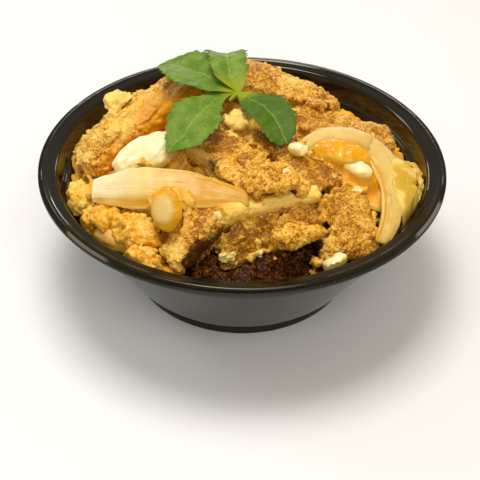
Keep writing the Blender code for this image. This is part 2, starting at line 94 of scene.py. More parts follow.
# Places where the surface differs, by what lies there: their middles, radii and strengths
PATCHES = {
    "egg": (
        ((-59, 13, 84), 9, 1.2), ((-82, -5, 67), 9, 0.7), ((-78, -28, 69), 8, 0.7),
        ((-51, 4, 82), 8, 1.3), ((22, 30, 92), 9, 0.4), ((-31, -71, 66), 9, 0.5),
        ((54, -51, 72), 9, 0.3),
    ),
    "bare": (
        ((-36, 12, 86), 8, 1.6), ((-20, 23, 91), 6, 0.8), ((-4, -57, 79), 7, 0.8),
        ((8, -51, 79), 7, 1.0), ((20, -47, 80), 7, 1.0), ((31, -45, 81), 7, 1.0),
    ),
    "orange": (
        ((-33, 15, 88), 9, 1.7), ((-40, 8, 83), 11, 2.0), ((-20, 22, 91), 9, 0.7),
        ((-62, -9, 70), 9, 0.8), ((5, 48, 98), 9, 0.8), ((34, 2, 84), 9, 0.5),
        ((-6, -33, 89), 8, 0.6), ((-8, -57, 77), 8, 0.8),
    ),
    "brown": (
        ((-20, 23, 91), 10, 0.9), ((5, 40, 96), 12, 0.5), ((65, 10, 77), 9, 0.5),
        ((30, 3, 85), 9, 0.7), ((12, -18, 89), 11, 0.8), ((-3, -26, 91), 11, 0.5),
        ((10, -44, 91), 12, 0.2), ((33, -36, 85), 11, 0.6), ((4, -60, 66), 12, 0.5),
        ((-8, -58, 76), 9, 0.5), ((-17, -60, 77), 9, 0.8),
    ),
    # Dark sauce; low at the front these patches also paint the shade in the gap by the wall and on a
    # slice's shaded side
    "sauce": (
        ((16, -10, 87), 7, 0.5), ((-14, -36, 87), 5, 0.7), ((27, -43, 80), 6, 0.6),
        ((5, -72, 51), 8, 1.2), ((29, -66, 55), 8, 1.0), ((-14, -70, 58), 8, 1.0),
        ((39, -55, 66), 6, 0.8), ((-20, -73, 62), 8, 0.8), ((-9, -66, 68), 5, 0.5),
    ),
    "pale": (
        ((-48, 12, 86), 13, 0.7), ((-32, -72, 65), 10, 0.6), ((28, 34, 92), 12, 0.6),
        ((60, 14, 78), 9, 0.5), ((52, -50, 72), 12, 0.5),
    ),
}

# Onion slices: the upper and the lower long edge, from left to right, and how far the middle
# stands out from the plane between them
ONIONS = {
    "onion_1": (((-69, -33, 77), (-46, -36, 85.5), (-22, -40, 86), (3, -50, 83)),
                ((-69, -44, 70), (-46, -53, 74.5), (-22, -56, 78), (3, -57, 79.5)), 1.2),
    "onion_2": (((-40, -57, 88), (-33.5, -56, 89.5), (-27, -57, 88)),
                ((-40, -66, 74), (-33, -68, 73), (-26, -66, 74)), 2.2),
    "onion_3": (((24, -25, 92), (34, -14, 92), (48, -7, 89.5), (62, -8, 85)),
                ((26, -32, 89), (37, -24, 90), (49, -19, 87), (59, -19, 83)), 0.6),
    "onion_4": (((50, -3, 88.5), (70, -12, 80), (76.5, -34, 72.5), (73, -50, 68), (66, -63, 63)),
                ((51, -15, 84.5), (59.5, -24, 80.5), (64, -39, 75.5), (63.5, -52, 70),
                 (60, -62, 64.5)), 0.8),
    "onion_5": (((-65, -52, 65), (-56, -57, 66), (-48, -63, 65)),
                ((-68, -56, 59), (-60, -63, 60), (-51, -68, 59)), 2.0),
    "onion_6": (((4, 51, 86), (24, 56, 79), (36, 60, 66)),
                ((0, 65, 78), (20, 71, 70), (31, 74, 58)), 2.0),
}

# What has stained each onion slice: at its left end, at its right end and along its lower edge;
# then 1 for the small piece with a ring, and 1 for the slice whose left end is clear and painted
# paler, partly as a painted highlight
ONION_STAINS = {
    "onion_1": (0.05, 1.7, 0.7, 0, 1),
    "onion_2": (0.4, 0.4, 0.2, 1, 0),
    "onion_3": (0.45, 0.5, 0.4, 0, 0),
    "onion_4": (0.45, 0.6, 0.4, 0, 0),
    "onion_5": (0.7, 0.7, 0.4, 0, 0),
    "onion_6": (0.5, 0.5, 0.4, 0, 0),
}

# Clumps of curds: the distance between the curds, their size, and how creamy, how crumbed
# and how orange they are, where 0 is not at all and 1 is fully
CURDS = {
    "egg_curd_1": (1.7, 0.95, 0.0, 0.05, 0.5),
    "egg_curd_2": (1.8, 1.0, 0.1, 1.0, 0.1),
    "egg_curd_3": (1.6, 0.9, 0.1, 1.0, 0.3),
    "egg_curd_5": (2.0, 1.1, 0.4, 0.3, 0.2),
    "egg_curd_6": (1.7, 0.95, 0.1, 0.05, 0.5),
    "egg_curd_7": (1.7, 0.95, 0.1, 0.1, 0.6),
    "egg_white_2": (3.0, 1.0, 1.4, 0.0, 0.0),
    "egg_yolk_2": (1.6, 0.8, 0.9, 0.1, 0.0),
}

# Lumps of egg that set smooth: how steeply each slopes up towards +X, how angular it is, and how
# far it swells
SOFT_LUMPS = {
    "egg_white_1": (0.35, 0.3, 0.0),
    "egg_white_3": (0.0, 2.6, -0.1),
    "egg_white_4": (0.3, 1.6, 0.0),
    "egg_white_5": (-0.2, 1.6, 0.4),
    "egg_yolk_1": (-0.1, 0.9, 0.3),
    "egg_curd_4": (0.0, 2.4, 0.0),
}

# Flecks of egg white that lie about on the heap: their middles and half sizes
FLECKS = (
    ((-9, -61, 76), (3.4, 1.8, 2.6)),
    ((-6, -68, 60), (4.0, 2.0, 2.4)),
    ((8, -67, 60.5), (2.0, 1.4, 1.8)),
    ((52, -40, 76.5), (3.2, 2.2, 1.6)),
    ((20, -45.5, 90.5), (1.8, 1.8, 2.2)),
)

# Thin sheets of egg that lie over the heap: how deep each one sinks into it, and its outline
# seen from above
SHEETS = {
    "egg_yolk_sheet_1": (1.6, ((22, -26), (31, -17), (45, -10), (60, -11), (71, -21), (75, -34),
                               (68, -45), (54, -41), (44, -36), (36, -32), (28, -31))),
    "egg_curd_sheet_1": (-0.4, ((72, -16), (79, -15), (83, -23), (80, -31), (83, -39), (79, -46),
                                (76, -50), (72, -44), (70, -30))),
}

# The sprig: where its leaflets meet, and for each leaflet its tip, how far its middle arches
# up, how far its right and left edges lift, how dark it is, and rows of (share of its length,
# how far its middle line swings to the left, half its width)
SPRIG_JOINT = (-2, 0, 103.4)
LEAFLETS = (
    ((-34.5, -31, 90), 4.0, (1.0, 1.0), 0.1, (
        (0.0, 0.0, 0.8), (0.10, -2.2, 1.4), (0.18, -4.4, 4.2), (0.36, -3.4, 8.4), (0.50, -1.4, 13.0),
        (0.58, -1.4, 14.2), (0.70, -0.4, 13.4), (0.80, 1.4, 12.2), (0.88, 0.6, 7.6), (1.0, 0.0, 0.6))),
    ((20.5, -28.5, 94.5), 2.0, (0.5, 2.0), 0.9, (
        (0.0, 0.0, 0.8), (0.08, 0.3, 3.0), (0.17, 1.0, 5.8), (0.26, 1.2, 7.4), (0.36, 3.0, 9.8),
        (0.47, 3.6, 10.4), (0.60, 3.2, 10.0), (0.74, 2.4, 9.6), (0.86, 1.0, 8.4), (0.94, 0.0, 6.2),
        (1.0, -0.5, 2.6))),
    ((-9, 41, 100), 8.0, (1.5, 3.0), 0.0, (
        (0.0, 0.0, 1.0), (0.08, 1.4, 5.0), (0.16, 3.0, 7.6), (0.30, 3.0, 8.6), (0.50, 2.6, 8.8),
        (0.68, 2.2, 8.8), (0.82, 1.8, 8.6), (0.92, 1.4, 7.8), (1.0, 0.5, 6.0))),
    ((-42, 29, 101), 3.0, (2.0, 1.0), 0.15, (
        (0.0, 0.0, 0.8), (0.10, 0.8, 4.6), (0.22, 0.4, 10.4), (0.36, -0.4, 14.4), (0.55, -1.2, 15.0),
        (0.68, -1.6, 13.4), (0.80, -1.6, 10.4), (0.90, -1.2, 6.6), (1.0, 0.0, 0.8))),
)

# Where the sprig's stem ends under the leaflets
STEM_END = (1.0, -4.5, 102.2)

# The bowl's inner wall: radius and height where it starts at the foot, where it ends, and of
# the ledge above it, how far the food keeps from it, and the height above which it ends
WALL_FOOT = (57.8, 6.2)
WALL_TOP = (87.5, 56.0)
LEDGE = (88.9, 56.4)
WALL_GAP = 0.4
RIM_HEIGHT = 66

# The bowl's profile: radius, height and rounding of each corner, up the inside, over the lip
# and down the outside
BOWL_PROFILE = (
    (0, 3.2, 0), (51.6, 3.2, 3.0), (*WALL_FOOT, 3.0), (*WALL_TOP, 0.8), (*LEDGE, 0.6),
    (90.4, 64.4, 1.0), (91.6, 66.0, 1.2), (95.4, 66.3, 1.2), (96.6, 67.0, 1.0), (97.7, 66.8, 0.6),
    (98.0, 66.3, 0.2), (99.2, 65.7, 0.2), (99.3, 65.4, 0.1), (99.9, 65.5, 0.3), (100.0, 64.9, 0.4),
    (100.0, 64.25, 0.25), (98.6, 64.2, 0.3), (94.0, 64.4, 1.0), (90.9, 57.0, 1.2),
    (89.7, 54.0, 1.6), (61.0, 9.4, 2.4), (57.6, 5.4, 0.8), (55.2, 4.4, 0.3), (56.0, 3.6, 0.4),
    (56.0, 0.0, 0.4), (53.8, 0.0, 0.4), (53.2, 1.6, 0.4), (0, 1.6, 0),
)

# The band of ribs on the lip: radius and height of each corner, and whether it stands out on a rib
RIB_SECTION = ((97.7, 65.6, 0), (97.8, 66.55, 0), (98.1, 66.5, 1), (99.5, 65.75, 1),
               (99.7, 65.4, 0), (99.3, 65.1, 0))

# Height above which the egg filling can be seen
BED_CUT = 44

# Size of the voxels of each kind's plain form and of its finished skin, and the share of
# triangles left once its hidden parts are thinned
FORM_GRAIN = {"slice": 1.1, "cut_side": 0.8, "curds": 1.0, "soft": 0.5, "bed": 1.6}
SKIN_GRAIN = {"curds": 0.5, "flecks": 0.35, "bed": 0.9, "bits": 0.85}
KEPT_SHARE = {"curds": 0.7, "soft": 0.6, "bed": 0.5, "bits": 0.5}

# Share of the ways out of the heap above which a place counts as seen
SEEN = 0.1

# Where the random draws of each group of pieces start
SEEDS = {
    "bed": 70,
    "leaflets": 90,
    "bits": 95,
    "curds": 200,
    "soft": 240,
    "flecks": 250,
    "sheets": 260,
    "slices": 300,
    "cut_sides": 340,
    "onions": 360,
}

# Camera, in metres: its place, the way it looks, its upward side, and the focal length in
# millimetres
EYE = (0.0, -0.434237, 0.368749)
LOOK = (-0.0011943, 0.7741796, -0.6329649)
CAMERA_UP = (-0.0135919, 0.6328943, 0.7741189)
FOCAL_LENGTH = 80.163


# Noise

def hashed(cells, seed):
    """Three numbers from 0 to 1 for each whole-number cell, the same on every run."""
    x, y, z = (cells[:, axis].astype(np.int64).astype(np.uint32) for axis in range(3))
    mixed = x * np.uint32(73856093) ^ y * np.uint32(19349663) ^ z * np.uint32(83492791)
    mixed ^= np.uint32((seed * 2654435761 + 97) % 2 ** 32)
    found = []
    for _ in range(3):
        mixed = (mixed ^ (mixed >> np.uint32(15))) * np.uint32(2246822519)
        mixed = (mixed ^ (mixed >> np.uint32(13))) * np.uint32(3266489917)
        mixed ^= mixed >> np.uint32(16)
        found.append(mixed / 2.0 ** 32)
    return np.stack(found, axis=1)


def soft_noise(places, size, seed):
    """Smooth noise from -1 to 1, with features of about the given size."""
    scaled = places / size
    low = np.floor(scaled)
    part = scaled - low
    part = part * part * (3 - 2 * part)
    total = np.zeros(len(places))
    for corner in itertools.product((0, 1), repeat=3):
        weight = np.prod(np.where(np.array(corner) == 1, part, 1 - part), axis=1)
        total += weight * hashed(low + corner, seed)[:, 0]
    return total * 2 - 1


def layered_noise(places, size, layers, seed):
    """Smooth noise whose layers are each half as large and half as strong as the one before."""
    total = np.zeros(len(places))
    for layer in range(layers):
        total += soft_noise(places, size / 2 ** layer, seed + layer) / 2 ** layer
    return total


def grains(places, size, seed):
    """Distance to the middle of the nearest grain, in grain sizes, and that grain's tone."""
    scaled = places / size
    low = np.floor(scaled)
    best = np.full(len(places), 9.0)
    tone = np.zeros(len(places))
    for step in itertools.product((-1, 0, 1), repeat=3):
        cell = low + step
        random = hashed(cell, seed)
        away = ((cell + random - scaled) ** 2).sum(axis=1)
        nearer = away < best
        best = np.where(nearer, away, best)
        tone = np.where(nearer, random[:, 1], tone)
    return np.sqrt(best), tone


def on_flat(x, y):
    """Grids of x and y as places at height 0."""
    return np.stack((x, y, x * 0), axis=-1).reshape(-1, 3)


def eased(value, low, high):
    """0 below low, 1 above high, and a smooth rise between them."""
    share = np.clip((value - low) / (high - low), 0, 1)
    return share * share * (3 - 2 * share)


# Curves and tubes

def curve_places(points, shares):
    """Places on the smooth curve through the given points, at shares of its way."""
    points = np.array(points, float)
    points = np.vstack((points[0] * 2 - points[1], points, points[-1] * 2 - points[-2]))
    last = len(points) - 3
    way = np.asarray(shares, float) * last
    index = np.clip(way.astype(int), 0, last - 1)
    t = (way - index)[..., None]
    a, b, c, d = (points[index + step] for step in range(4))
    return 0.5 * (b * 2 + (c - a) * t + (a * 2 - b * 5 + c * 4 - d) * t ** 2
                  + (b * 3 - a - c * 3 + d) * t ** 3)


def way_along(points, shares):
    """The way that the curve runs at shares of its length."""
    ahead = curve_places(points, np.minimum(shares + 0.05, 1))
    return ahead - curve_places(points, np.maximum(shares - 0.05, 0))


def ring_grid(rows, around, first=0.0):
    """For rings of vertices: each one's share of the way from first to 1, and its angle."""
    turns = np.arange(around) * 2 * math.pi / around
    return np.meshgrid(np.linspace(first, 1, rows), turns, indexing="ij")


def unit(vectors):
    return vectors / np.linalg.norm(vectors, axis=-1, keepdims=True)


def signed_power(value, power):
    return np.sign(value) * np.abs(value) ** power


def tube_faces(rows, around):
    """Faces of a closed tube made of rings of vertices, with its two ends shut."""
    faces = []
    for i, k in itertools.product(range(rows - 1), range(around)):
        low, high, after = i * around, (i + 1) * around, (k + 1) % around
        faces.append((low + k, high + k, high + after, low + after))
    faces.append(tuple(range(around)))
    faces.append(tuple(reversed(range((rows - 1) * around, rows * around))))
    return faces


def stalk_tube(points, radius, around=12, taper=0.3):
    """A round stalk along a few points."""
    rows = 17
    share, turn = ring_grid(rows, around)
    middle = curve_places(points, share)
    ahead = unit(way_along(points, share))
    side = unit(np.cross(ahead, (0.1, 0.2, 1)))
    above = np.cross(side, ahead)
    grown = radius * (1 - taper * share)
    places = middle + side * (np.cos(turn) * grown)[..., None]
    places = places + above * (np.sin(turn) * grown)[..., None]
    return places.reshape(-1, 3), tube_faces(rows, around)


# Meshes

def places_of(mesh):
    flat = np.empty(len(mesh.vertices) * 3, np.float32)
    mesh.vertices.foreach_get("co", flat)
    return flat.reshape(-1, 3).astype(np.float64)


def place_vertices(mesh, places):
    mesh.vertices.foreach_set("co", places.astype(np.float32).ravel())
    mesh.update()


def normals_of(mesh):
    flat = np.empty(len(mesh.vertices) * 3, np.float32)
    mesh.vertex_normals.foreach_get("vector", flat)
    return flat.reshape(-1, 3).astype(np.float64)


def triangles_of(mesh):
    mesh.calc_loop_triangles()
    flat = np.empty(len(mesh.loop_triangles) * 3, np.int32)
    mesh.loop_triangles.foreach_get("vertices", flat)
    return flat.reshape(-1, 3)


def edges_of(mesh):
    flat = np.empty(len(mesh.edges) * 2, np.int32)
    mesh.edges.foreach_get("vertices", flat)
    return flat.reshape(-1, 2)


def mesh_of(name, places, faces):
    mesh = bpy.data.meshes.new(name)
    mesh.from_pydata(places.tolist(), [], faces.tolist())
    mesh.update()
    return mesh


def joined_mesh(name, parts):
    """One mesh of several (points in millimetres, faces) parts."""
    points, faces = [], []
    for more, cells in parts:
        start = sum(len(group) for group in points)
        points.append(more)
        faces += [tuple(start + corner for corner in cell) for cell in cells]
    mesh = bpy.data.meshes.new(name)
    mesh.from_pydata((np.vstack(points) * MM).tolist(), [], faces)
    mesh.update()
    return mesh


def relaxed(places, edges, rounds, share=0.5):
    """Each vertex moved towards the middle of its neighbours."""
    count = np.maximum(np.bincount(edges.ravel(), minlength=len(places)), 1)
    for _ in range(rounds):
        total = np.empty_like(places)
        for axis in range(3):
            value = places[:, axis]
            total[:, axis] = np.bincount(edges[:, 0], value[edges[:, 1]], len(places))
            total[:, axis] += np.bincount(edges[:, 1], value[edges[:, 0]], len(places))
        places = places + (total / count[:, None] - places) * share
    return places


def relax(mesh, rounds, share=0.5):
    """Evens the mesh out, and returns the new places of its vertices."""
    places = relaxed(places_of(mesh), edges_of(mesh), rounds, share)
    place_vertices(mesh, places)
    return places


def modified(mesh, kind, hidden=None, **values):
    """The mesh as a modifier leaves it; hidden marks the vertices that the modifier is for."""
    work = bpy.data.objects.new("work", mesh)
    bpy.context.scene.collection.objects.link(work)
    modifier = work.modifiers.new("work", kind)
    for name, value in values.items():
        setattr(modifier, name, value)
    if hidden is not None:
        group = work.vertex_groups.new(name="hidden")
        group.add(np.nonzero(hidden)[0].tolist(), 1.0, "REPLACE")
        modifier.vertex_group = "hidden"
    bpy.context.view_layer.update()
    graph = bpy.context.evaluated_depsgraph_get()
    made = bpy.data.meshes.new_from_object(work.evaluated_get(graph))
    bpy.data.objects.remove(work)
    bpy.data.meshes.remove(mesh)
    return made


def voxel_skin(mesh, grain):
    """One closed, even skin round everything in the mesh."""
    return modified(mesh, "REMESH", mode="VOXEL", voxel_size=grain)


def thinned(mesh, seen, share):
    """Fewer triangles where nothing is seen: share is what is left of the whole mesh."""
    return modified(mesh, "DECIMATE", hidden=~seen, vertex_group_factor=10, ratio=share)


def stacked(meshes):
    """The places and the triangles of several meshes as one set."""
    points, faces = [], []
    for mesh in meshes:
        start = sum(len(group) for group in points)
        points.append(places_of(mesh))
        faces.append(triangles_of(mesh) + start)
    return np.vstack(points), np.vstack(faces)


def node_mesh(*nodes, ridge=None):
    """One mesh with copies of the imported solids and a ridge, with no material."""
    solids = [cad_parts[node].data for node in nodes]
    if ridge:
        solids.append(joined_mesh("ridge", [stalk_tube(*ridge, around=16, taper=0.15)]))
    return mesh_of(nodes[0], *stacked(solids))


def tree_of(meshes):
    points, faces = stacked(meshes)
    return BVHTree.FromPolygons(points.tolist(), faces.tolist())


def signed_volumes(places, faces):
    """Six times the volume between the origin and each triangle."""
    a, b, c = (places[faces[:, corner]] for corner in range(3))
    return np.einsum("ij,ij->i", a, np.cross(b, c))


def shell_numbers(count, edges):
    """The same number for all vertices that hang together."""
    number = np.arange(count)
    while True:
        lower = number.copy()
        np.minimum.at(lower, edges[:, 0], number[edges[:, 1]])
        np.minimum.at(lower, edges[:, 1], number[edges[:, 0]])
        lower = lower[lower]
        if (lower == number).all():
            return number
        number = lower


def main_shell(mesh):
    """The mesh without loose scraps and without the skins of hollows inside it."""
    places, faces = places_of(mesh), triangles_of(mesh)
    number = shell_numbers(len(places), edges_of(mesh))
    size = np.bincount(number[faces[:, 0]], signed_volumes(places, faces), len(places))
    kept = number == size.argmax()
    place = np.cumsum(kept) - 1
    faces = place[faces[kept[faces[:, 0]]]]
    bpy.data.meshes.remove(mesh)
    return mesh_of("shell", places[kept], faces)


def soft_base(grain, rounds, *nodes, ridge=None):
    """The solids' form as one even mesh with rounded edges."""
    mesh = main_shell(voxel_skin(node_mesh(*nodes, ridge=ridge), grain * MM))
    relax(mesh, rounds)
    return mesh


def outward(mesh):
    """The same mesh with its faces pointing out."""
    if signed_volumes(places_of(mesh), triangles_of(mesh)).sum() < 0:
        mesh.flip_normals()
    return mesh


def inside_bowl(places):
    """Places moved in where they would reach into the bowl's wall."""
    height = places[:, 2] / MM
    slope = (WALL_TOP[0] - WALL_FOOT[0]) / (WALL_TOP[1] - WALL_FOOT[1])
    wall = WALL_FOOT[0] + (height - WALL_FOOT[1]) * slope
    wall = np.where(height > WALL_TOP[1], LEDGE[0], wall) - WALL_GAP
    share = np.minimum(1, wall * MM / np.maximum(np.hypot(places[:, 0], places[:, 1]), MM))
    share = np.where(height > RIM_HEIGHT, 1, share)
    return places * np.stack((share, share, np.ones(len(share))), axis=1)


def push_out(mesh, places, reach):
    """Moves the vertices from their places along their normals, by a reach in millimetres and
    not into the bowl, and returns their new places."""
    moved = inside_bowl(places + normals_of(mesh) * (reach * MM)[:, None])
    place_vertices(mesh, moved)
    return moved


def bump_heights(mesh, rounds=8, reach=0.4 * MM):
    """0 in the pits of a surface, 1 on its bumps."""
    places = places_of(mesh)
    calm = relaxed(places, edges_of(mesh), rounds)
    height = ((places - calm) * normals_of(mesh)).sum(axis=1)
    return np.clip(0.5 + height / (2 * reach), 0, 1)


def keep_values(mesh, name, *channels):
    """Stores up to three values at each vertex, for the material to read."""
    colour = np.zeros((len(mesh.vertices), 4), np.float32)
    colour[:, 3] = 1
    for index, channel in enumerate(channels):
        colour[:, index] = channel
    stored = mesh.attributes.new(name, "FLOAT_COLOR", "POINT")
    stored.data.foreach_set("color", colour.ravel())


def piece(name, mesh, look, slot, *nodes):
    """Puts a finished mesh in the scene as one piece that stands for the given solids."""
    mesh.materials.clear()
    mesh.materials.append(look)
    mesh.shade_smooth()
    made = bpy.data.objects.new(name, mesh)
    bpy.context.scene.collection.objects.link(made)
    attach(made, "root")
    if nodes:
        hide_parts(*nodes)
    return made


# What is seen from above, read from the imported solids

class Heap:
    """The food as packed: which places on it are open to view, and how high it stands."""

    ways_out = [Vector((0, 0, 1))] + [
        Vector((0.8 * math.cos(turn), 0.8 * math.sin(turn), 0.6)).normalized()
        for turn in np.radians((-90, -40, -140, 0, 180, 90))]
    off_surface = 0.0008
    through_surface = 0.0004

    def __init__(self):
        food = [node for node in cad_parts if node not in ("bowl", "mitsuba")]
        self.tree = tree_of(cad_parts[node].data for node in food)

    def way_out(self, place, direction):
        """Whether nothing stands in the way but the food that the place itself lies in."""
        start = Vector(place)
        for _ in range(3):
            hit, normal, _, _ = self.tree.ray_cast(start, direction)
            if hit is None:
                return True
            if direction.dot(normal) < 0:
                return False
            start = hit + direction * self.through_surface
        return True

    def open_shares(self, places, normals):
        """0 for a place that is shut in between pieces, 1 for one that is open all round."""
        found = [sum(self.way_out(place, way) for way in self.ways_out)
                 for place in places + normals * self.off_surface]
        return np.array(found) / len(self.ways_out)

    def filled_heights(self, x, y, reach):
        """The height of the heap at places in millimetres, with its narrow gaps filled."""
        line = np.arange(-90, 90.1, 1.0)
        grid = self.heights(*np.meshgrid(line * MM, line * MM, indexing="ij")) / MM
        i, j = (np.clip(np.round(value - line[0]).astype(int), 0, len(line) - 1) for value in (x, y))
        return closed(grid, reach)[i, j]

    def heights(self, x, y, lowest=0.05, highest=0.2):
        """The height of the heap at places in metres."""
        down = Vector((0, 0, -1))
        found = np.full(x.shape, lowest)
        for index in np.ndindex(x.shape):
            hit = self.tree.ray_cast(Vector((x[index], y[index], highest)), down)[0]
            if hit:
                found[index] = hit.z
        return found


def nearest_values(base, values, places):
    """The values of the nearest of the base's vertices."""
    tree = KDTree(len(base))
    for index, place in enumerate(base):
        tree.insert(place, index)
    tree.balance()
    return values[[tree.find(place)[1] for place in places]]


def moved_extreme(grid, reach, pick):
    """The highest or lowest value of a grid within a round reach of each place."""
    size = len(grid)
    padded = np.pad(grid, reach, mode="edge")
    found = grid.copy()
    for i, j in itertools.product(range(-reach, reach + 1), repeat=2):
        if i * i + j * j <= reach * reach + 1:
            found = pick(found, padded[reach + i:reach + i + size, reach + j:reach + j + size])
    return found


def closed(grid, reach):
    """A grid of heights whose dips within the reach are filled."""
    return moved_extreme(moved_extreme(grid, reach, np.maximum), reach, np.minimum)


# Small grains, such as crumbs and curds

def ball_form(subdivisions):
    """Vertices and triangles of a ball of radius 1."""
    bm = bmesh.new()
    bmesh.ops.create_icosphere(bm, subdivisions=subdivisions, radius=1)
    ball = np.array([vertex.co for vertex in bm.verts])
    faces = np.array([[vertex.index for vertex in face.verts] for face in bm.faces])
    bm.free()
    return ball, faces


def grain_forms(random, count=24, roughness=0.35):
    """A few uneven ball shapes of radius about 1, and their shared faces."""
    ball, faces = ball_form(1)
    stretch = random.uniform(0.55, 1.4, (count, 1, 3))
    dent = 1 + random.uniform(-roughness, roughness, (count, len(ball), 1))
    return ball[None] * stretch * dent, faces


def random_turns(random, count):
    """Rotation matrices that point in all directions alike."""
    spin = random.normal(size=(count, 4))
    spin /= np.linalg.norm(spin, axis=1, keepdims=True)
    w, x, y, z = spin.T
    rows = [1 - 2 * (y * y + z * z), 2 * (x * y - z * w), 2 * (x * z + y * w),
            2 * (x * y + z * w), 1 - 2 * (x * x + z * z), 2 * (y * z - x * w),
            2 * (x * z - y * w), 2 * (y * z + x * w), 1 - 2 * (x * x + y * y)]
    return np.stack(rows, axis=1).reshape(-1, 3, 3)


def grain_crowd(random, places, sizes):
    """Vertices and faces of one uneven grain at each place."""
    forms, faces = grain_forms(random)
    chosen = forms[random.integers(0, len(forms), len(places))]
    turned = np.einsum("mij,mvj->mvi", random_turns(random, len(places)), chosen)
    points = turned * sizes[:, None, None] + places[:, None, :]
    count = points.shape[1]
    shift = (np.arange(len(places)) * count)[:, None, None]
    return points.reshape(-1, 3), (faces[None] + shift).reshape(-1, 3)


def scattered(random, mesh, spacing):
    """Places and normals spread at random over a surface, one for each spacing squared."""
    places, normals, faces = places_of(mesh), normals_of(mesh), triangles_of(mesh)
    a, b, c = (places[faces[:, corner]] for corner in range(3))
    area = np.linalg.norm(np.cross(b - a, c - a), axis=1) / 2
    count = int(area.sum() / spacing ** 2)
    chosen = random.choice(len(faces), count, p=area / area.sum())
    share = random.dirichlet((1, 1, 1), count)
    corners = faces[chosen]
    spot = (places[corners] * share[:, :, None]).sum(axis=1)
    facing = (normals[corners] * share[:, :, None]).sum(axis=1)
    facing /= np.maximum(np.linalg.norm(facing, axis=1, keepdims=True), 1e-9)
    return spot, facing


def strewn(random, base, rough, heap, spacing):
    """How open a rough base is, and spots strewn over it with their normals and whether each
    one is seen."""
    openness = heap.open_shares(rough, normals_of(base))
    spots, facing = scattered(random, base, spacing)
    return openness, spots, facing, nearest_values(rough, openness, spots) > SEEN


def with_grains(mesh, places, sizes, random, grain):
    """Grows grains out of a surface, and makes one skin of both."""
    points, faces = grain_crowd(random, places, sizes)
    base, triangles = places_of(mesh), triangles_of(mesh)
    bpy.data.meshes.remove(mesh)
    joined = mesh_of("grains", np.vstack((base, points)), np.vstack((triangles, faces + len(base))))
    return voxel_skin(joined, grain)


# Materials

class Finish:
    """One material's nodes, with short ways to make the usual ones."""

    def __init__(self, name, roughness, shine=0.5, coat=0.0, soft=0.0, soft_reach=0.0):
        self.look = bpy.data.materials.new(name)
        self.look.use_nodes = True
        self.tree = self.look.node_tree
        self.shader = self.tree.nodes["Principled BSDF"]
        self.feed(self.shader, {
            "Roughness": roughness, "Specular IOR Level": shine, "Coat Weight": coat,
            "Coat Roughness": 0.1, "Subsurface Weight": soft, "Subsurface Scale": soft_reach,
            "Subsurface Radius": (1.0, 0.6, 0.25)})
        self.where = self.node("ShaderNodeTexCoord").outputs["Object"]

    def feed(self, node, inputs):
        """Links each input to a socket, or sets it to a number, a colour or three lengths."""
        for name, value in inputs.items():
            socket = node.inputs[name]
            if isinstance(value, bpy.types.NodeSocket):
                self.tree.links.new(value, socket)
            elif isinstance(value, (int, float)):
                socket.default_value = value
            else:
                socket.default_value = (*value, 1)[:len(socket.default_value)]

    def node(self, kind, inputs=None, **settings):
        made = self.tree.nodes.new(kind)
        for name, value in settings.items():
            setattr(made, name, value)
        self.feed(made, inputs or {})
        return made

    def noise(self, size, detail, where=None):
        made = self.node("ShaderNodeTexNoise", {
            "Vector": where or self.where, "Scale": 1 / size, "Detail": detail, "Roughness": 0.55})
        return made.outputs["Fac"]

    def channels(self, colour):
        split = self.node("ShaderNodeSeparateColor", {"Color": colour})
        return split.outputs["Red"], split.outputs["Green"], split.outputs["Blue"]

    def grains(self, size):
        """A tone of its own for each grain."""
        inputs = {"Vector": self.where, "Scale": 1 / size}
        made = self.node("ShaderNodeTexVoronoi", inputs, feature="F1")
        return self.channels(made.outputs["Color"])[0]

    def stored(self, name):
        """The three values kept at each vertex under this name."""
        read = self.node("ShaderNodeAttribute", attribute_name=name)
        return self.channels(read.outputs["Color"])

    def reckoned(self, operation, first, second):
        return self.node("ShaderNodeMath", {0: first, 1: second}, operation=operation).outputs[0]

    def sum(self, first, *terms):
        """Each term is a socket, a number, or one of them and a factor."""
        total = self.scaled(first)
        for term in terms:
            total = self.reckoned("ADD", total, self.scaled(term))
        return total

    def scaled(self, term):
        if not isinstance(term, tuple):
            return term
        value, factor = term
        if isinstance(value, (int, float)):
            return value * factor
        return self.reckoned("MULTIPLY", value, factor)

    def between(self, value, low, high):
        """0 below low, 1 above high."""
        inputs = {"Value": value, "From Min": low, "From Max": high}
        made = self.node("ShaderNodeMapRange", inputs, interpolation_type="SMOOTHSTEP")
        return made.outputs["Result"]

    def range(self, value, low, high):
        """The value's 0 to 1 spread out from low to high."""
        made = self.node("ShaderNodeMapRange", {"Value": value, "To Min": low, "To Max": high})
        return made.outputs["Result"]

    def mix(self, share, first, second):
        """The first colour where the share is 0, the second where it is 1."""
        # The node's sockets for colours are its inputs 6 and 7 and its output 2
        made = self.node("ShaderNodeMix", {"Factor": share, 6: first, 7: second}, data_type="RGBA")
        return made.outputs[2]

    def colour(self, value):
        self.feed(self.shader, {"Base Color": value})

    def rough(self, value):
        self.feed(self.shader, {"Roughness": value})

    def bump(self, value, depth, strength=1.0):
        inputs = {"Height": value, "Distance": depth, "Strength": strength}
        made = self.node("ShaderNodeBump", inputs)
        self.feed(self.shader, {"Normal": made.outputs["Normal"]})


